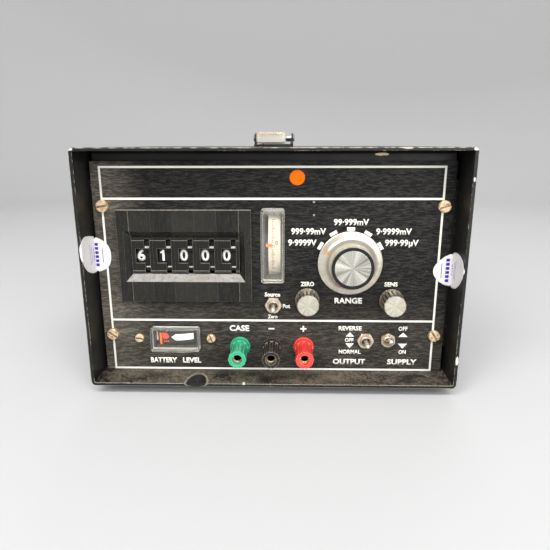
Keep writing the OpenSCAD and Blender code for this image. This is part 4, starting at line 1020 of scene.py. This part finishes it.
# pivot of a meter and a place on its card, which bends round that pivot; an upright card bends along z
def curvedCard(values, upright):
    pivot = onPanel(values["x"], values["z"], -values["pivotBehind"])

    def place(x, z, proud):
        angle = (z if upright else x) / values["radius"]
        reach = (values["radius"] + proud) * mm
        ahead, aside = -math.cos(angle) * reach, math.sin(angle) * reach
        return pivot + Vector((x * mm, ahead, aside) if upright else (aside, ahead, z * mm))

    return pivot, place


# null meter; a row of ticks holds how many steps apart they are, their size and shift
nullCard = {
    "x": 0, "z": 12.9, "pivotBehind": 25.8, "radius": 28.02, "span": 62, "steps": 30,
    "rows": [(1, (0.04, 0.32, 1.2), -0.1), (5, (0.05, 0.4, 2.0), 0.3)],
    "zero": (1.5, 3.0, 0.5, 2.9), "weight": 0.02, "dot": (0.7, 1.0, 1.6, 1.9),
}


def makeNullScale(values):
    pivot, onCard = curvedCard(values, True)
    step = math.radians(values["span"]) / values["steps"]
    ticks = bmesh.new()
    for every, size, shift in values["rows"]:
        row = {
            "Count": values["steps"] // every + 1, "Radius": values["radius"] * mm,
            "First angle": -step * values["steps"] / 2, "Step": step * every,
            "Size": tuple(length * mm for length in size), "Finish": finishes["greyInk"],
        }
        place = axesAt(pivot + Vector((shift * mm, 0, 0)), (0, -1, 0), (0, 0, 1), (-1, 0, 0))
        ticks.from_mesh(growMesh("nullTicks", marksTree, row, place))
    addLettering(ticks, "0", values["zero"], values["weight"], 0.0, onCard)
    addOutline(ticks, rectangle(*values["dot"]), 0.0, onCard)
    addPrint("nullTicks", ticks, "greyInk", outward=False)


makeNullScale(nullCard)

# battery meter; an outline holds sections of x, lower edge, upper edge and steps from the section before
batteryCard = {
    "x": -59.3, "z": -44.75, "pivotBehind": 19.8, "radius": 22.03, "blunt": 0.04,
    "arrow": [
        [(-13.3, -2.0, 3.4, 0), (-11.8, -2.0, 3.4, 2)],
        [(-2.5, 0.9, 0.9, 0), (0.2, -1.1, 2.9, 6), (10.9, -1.1, 2.9, 12)],
    ],
    "red": [
        [(-8.4, -0.4, 3.3, 0), (-5.2, -0.4, 3.3, 3), (-3.7, 1.4, 1.5, 4)],
        [(-7.3, -2.5, -1.3, 0), (-6.6, -2.5, -1.3, 1)],
        [(-6.1, -2.5, -1.3, 0), (-5.4, -2.5, -1.3, 1)],
        [(-4.9, -2.5, -1.3, 0), (-4.2, -2.5, -1.3, 1)],
    ],
}


def makeBatteryScale(values):
    onCard = curvedCard(values, False)[1]

    # cuts outlines into narrow steps along x so that they bend with the card
    def bentPrint(outlines):
        work = bmesh.new()
        for outline in outlines:
            sections = []
            for start, end in zip(outline, outline[1:]):
                steps = end[3]
                for k in range(1 if sections else 0, steps + 1):
                    x, low, high = (a + (b - a) * k / steps for a, b in zip(start[:3], end[:3]))
                    middle, half = (low + high) / 2, max(values["blunt"], (high - low) / 2)
                    sections.append((x, middle - half, middle + half))
            addStrip(work, sections, 0.0, printThick, onCard)
        return work

    addPrint("batteryArrow", bentPrint(values["arrow"]), "whiteInk")
    addPrint("batteryRed", bentPrint(values["red"]), "redInk")


makeBatteryScale(batteryCard)

# worn pointer mark painted on the range dial's skirt, which flares in a quarter of an ellipse
pointerMark = {
    "angle": -64, "tip": 12.9, "end": 16.6, "halfWide": 1.6, "blunt": 0.05, "flareEnd": 17.95,
    "flareAlong": 5.65, "flareRise": 5.9, "foot": 2.6, "steps": 9, "proud": 0.05, "thick": 0.05,
}


def makePointerMark(values):
    work = bmesh.new()
    angle = math.radians(values["angle"])
    outward = Vector((math.sin(angle), math.cos(angle)))
    across = Vector((outward.y, -outward.x))

    def onSkirt(along, aside, proud):
        flat = outward * along + across * aside
        share = min(1.0, (values["flareEnd"] - along) / values["flareAlong"])
        rise = values["foot"] + values["flareRise"] * (1 - math.sqrt(1 - share * share))
        return rangeCentre + Vector((flat.x * mm, -(rise + proud) * mm, flat.y * mm))

    span = values["end"] - values["tip"]
    sections = []
    for step in range(values["steps"] + 1):
        reach = step * span / values["steps"]
        half = values["halfWide"] * (reach + values["blunt"]) / span
        sections.append((values["tip"] + reach, -half, half))
    addStrip(work, sections, values["proud"], values["thick"], onSkirt)
    addPrint("rangePointerMark", work, "wornOrange", "range_dial")


makePointerMark(pointerMark)


# thin closed sheet; place takes -1 to 1 along and across it and a lift off the surface
def sheetMesh(name, place, columns, rows, thick):
    work = bmesh.new()
    layers = []
    for lift in (0.0, thick):
        grid = []
        for i in range(columns + 1):
            t = -math.cos(math.pi * (i + 0.15) / (columns + 0.3))
            grid.append([work.verts.new(place(t, 2 * j / rows - 1, lift)) for j in range(rows + 1)])
        layers.append(grid)
    low, high = layers
    for grid in layers:
        for i in range(columns):
            for j in range(rows):
                work.faces.new((grid[i][j], grid[i + 1][j], grid[i + 1][j + 1], grid[i][j + 1]))
    border = [(i, 0) for i in range(columns)] + [(columns, j) for j in range(rows)]
    border += [(i, rows) for i in range(columns, 0, -1)] + [(0, j) for j in range(rows, 0, -1)]
    for (i, j), (m, n) in zip(border, border[1:] + border[:1]):
        work.faces.new((low[i][j], low[m][n], high[m][n], high[i][j]))
    mesh = meshFrom(name, work)
    mesh.shade_smooth()
    return mesh


sticker = {"x": 13.8, "z": 51.4, "radius": 4.3, "proud": 0.02, "thick": 0.08}


def makeSticker(values):
    def place(t, v, lift):
        reach = values["radius"] * math.sqrt(1 - t * t)
        return onPanel(values["x"] + values["radius"] * t, values["z"] + reach * v, values["proud"] + lift)

    addPiece("orangeSticker", sheetMesh("orangeSticker", place, 32, 8, values["thick"]), "orangePaper")


makeSticker(sticker)

# paper seals that run from the panel over the corner, along the hood's side wall and onto the rim, in mm
seals = {
    "paperSealLeft": {"side": -1, "start": 95.3, "length": 29.3, "half": 10.9, "fullness": 2.5, "up": 6.4,
                      "rise": 0.0065, "seed": 3.1},
    "paperSealRight": {"side": 1, "start": 93.5, "length": 30.4, "half": 10.6, "fullness": 1.85, "up": -2.2,
                       "rise": 0.0045, "seed": 8.4},
}
sealThick = 0.1
wallInside = 104.7
hoodDeep = 19.0
# each row of the blank print: distance along the paper, width, half height and number of blocks
sealRules = [(4.8, 0.35, 4.4, 1), (8.2, 2.1, 7.4, 6), (11.7, 0.9, 3.6, 4), (14.8, 0.35, 5.0, 1),
             (17.0, 0.35, 5.8, 1)]


# maps a distance along the paper and a height, in mm, to a point on the panel, the wall or the rim
def paperPath(values):
    reach = wallInside - values["start"]

    def along(s):
        return Vector((values["start"] + min(s, reach) + max(0.0, s - reach - hoodDeep),
                       min(max(s - reach, 0.0), hoodDeep)))

    def place(s, z, lift):
        before, after = along(s - 0.15), along(s + 0.15)
        slope = (after - before).normalized()
        wrinkle = abs(noise.noise(Vector((s * 0.22, z * 0.22, values["seed"])))) * 0.22
        fold = abs(noise.noise(Vector((z * 0.5, values["seed"], 0))))
        crease = math.exp(-((s - reach) / 1.4) ** 2) * 0.3 * fold
        raised = 0.12 + lift + wrinkle + crease
        spot = (before + after) / 2 + Vector((-slope.y, slope.x)) * raised
        return onPanel(values["side"] * spot.x, z, spot.y)

    return place, reach


def makeSeal(name, values):
    paper, reach = paperPath(values)

    def middle(s):
        return values["up"] + values["rise"] * s * s

    def outline(t, v, lift):
        s = values["length"] * (t + 1) / 2
        half = values["half"] * (1 - abs(t) ** values["fullness"]) ** (1 / values["fullness"])
        notch = 1.1 * math.exp(-((s - reach + 0.4) / 0.5) ** 2) * abs(v) ** 8
        ragged = 0.25 * noise.noise(Vector((s * 0.8, v * 2, values["seed"])))
        return paper(s, middle(s) + v * (half - notch + ragged), lift)

    addPiece(name, sheetMesh(name, outline, 64, 30, sealThick), "sealPaper")
    work = bmesh.new()
    for s0, wide, half, blocks in sealRules:
        for block in range(blocks):
            centre = middle(s0) + half * ((2 * block + 1) / blocks - 1)
            tall = half / blocks * (0.7 if blocks > 1 else 1.0)

            def rule(t, v, lift):
                return paper(s0 + t * wide / 2, centre + v * tall, sealThick + 0.01 + lift)

            mesh = sheetMesh("rule", rule, 2, 16 if blocks == 1 else 4, printThick)
            work.from_mesh(mesh)
            bpy.data.meshes.remove(mesh)
    addPrint(name + "Rules", work, "blueInk")


for name, values in seals.items():
    makeSeal(name, values)
print("stage: stickers made")

# studio: a wide pale dish whose floor curves up into a wall all round, in metres
studio = {
    "floor": (0.6, 0.6, 0.6), "middle": -0.5, "radius": 2.2, "bend": 0.7, "bendSteps": 12, "tall": 1.9,
    "sides": 96,
}


def makeStudio(values):
    work = bmesh.new()
    bend, sides = values["bend"], values["sides"]
    flat = values["radius"] - bend
    arc = [math.radians(90 * k / values["bendSteps"]) for k in range(values["bendSteps"] + 1)]
    profile = [(flat + bend * math.sin(a), bend * (1 - math.cos(a))) for a in arc]
    profile.append((values["radius"], values["tall"]))
    turns = [2 * math.pi * k / sides for k in range(sides)]
    rings = []
    for reach, z in profile:
        spots = [(reach * math.cos(t), values["middle"] + reach * math.sin(t), z) for t in turns]
        rings.append([work.verts.new(spot) for spot in spots])
    work.faces.new(rings[0])
    for low, high in zip(rings, rings[1:]):
        for k in range(sides):
            work.faces.new((low[k - 1], high[k - 1], high[k], low[k]))
    mesh = meshFrom("studioSweep", work, False)
    mesh.shade_smooth()
    sweep = newObject("studioSweep", mesh)
    paper = Finish("studioPaper", Base_Color=values["floor"], Roughness=0.7, Specular_IOR_Level=0.2)
    mesh.materials.append(paper.material)


makeStudio(studio)

# soft lamps in metres and watts, all aimed at the panel, and even light from the world
lamps = {
    "stripLamp": {"at": (-0.05, -0.85, 1.15), "size": (1.3, 0.22), "power": 15.0},
    "frontLamp": {"at": (0.75, -1.4, 0.6), "size": (1.5, 1.1), "power": 20.0},
    "leftLamp": {"at": (-0.8, -1.0, 0.9), "size": (0.7, 0.7), "power": 8.0},
    "rearLamp": {"at": (0.2, 1.0, 1.0), "size": (1.2, 0.6), "power": 5.0},
}
lampTarget = Vector((0, -0.02, 0.07))
worldLight = 0.35


def makeLamps():
    for name, values in lamps.items():
        data = bpy.data.lights.new(name, "AREA")
        data.shape = "RECTANGLE"
        data.size, data.size_y = values["size"]
        data.energy = values["power"]
        lamp = newObject(name, data)
        lamp.location = values["at"]
        lamp.rotation_euler = (lampTarget - Vector(values["at"])).to_track_quat("-Z", "Y").to_euler()
    world = bpy.data.worlds.new("studioWorld")
    bpy.context.scene.world = world
    world.use_nodes = True
    background = world.node_tree.nodes["Background"].inputs
    background["Color"].default_value = (1, 1, 1, 1)
    background["Strength"].default_value = worldLight


makeLamps()
bpy.context.scene.view_settings.view_transform = "Standard"
print("stage: studio made")
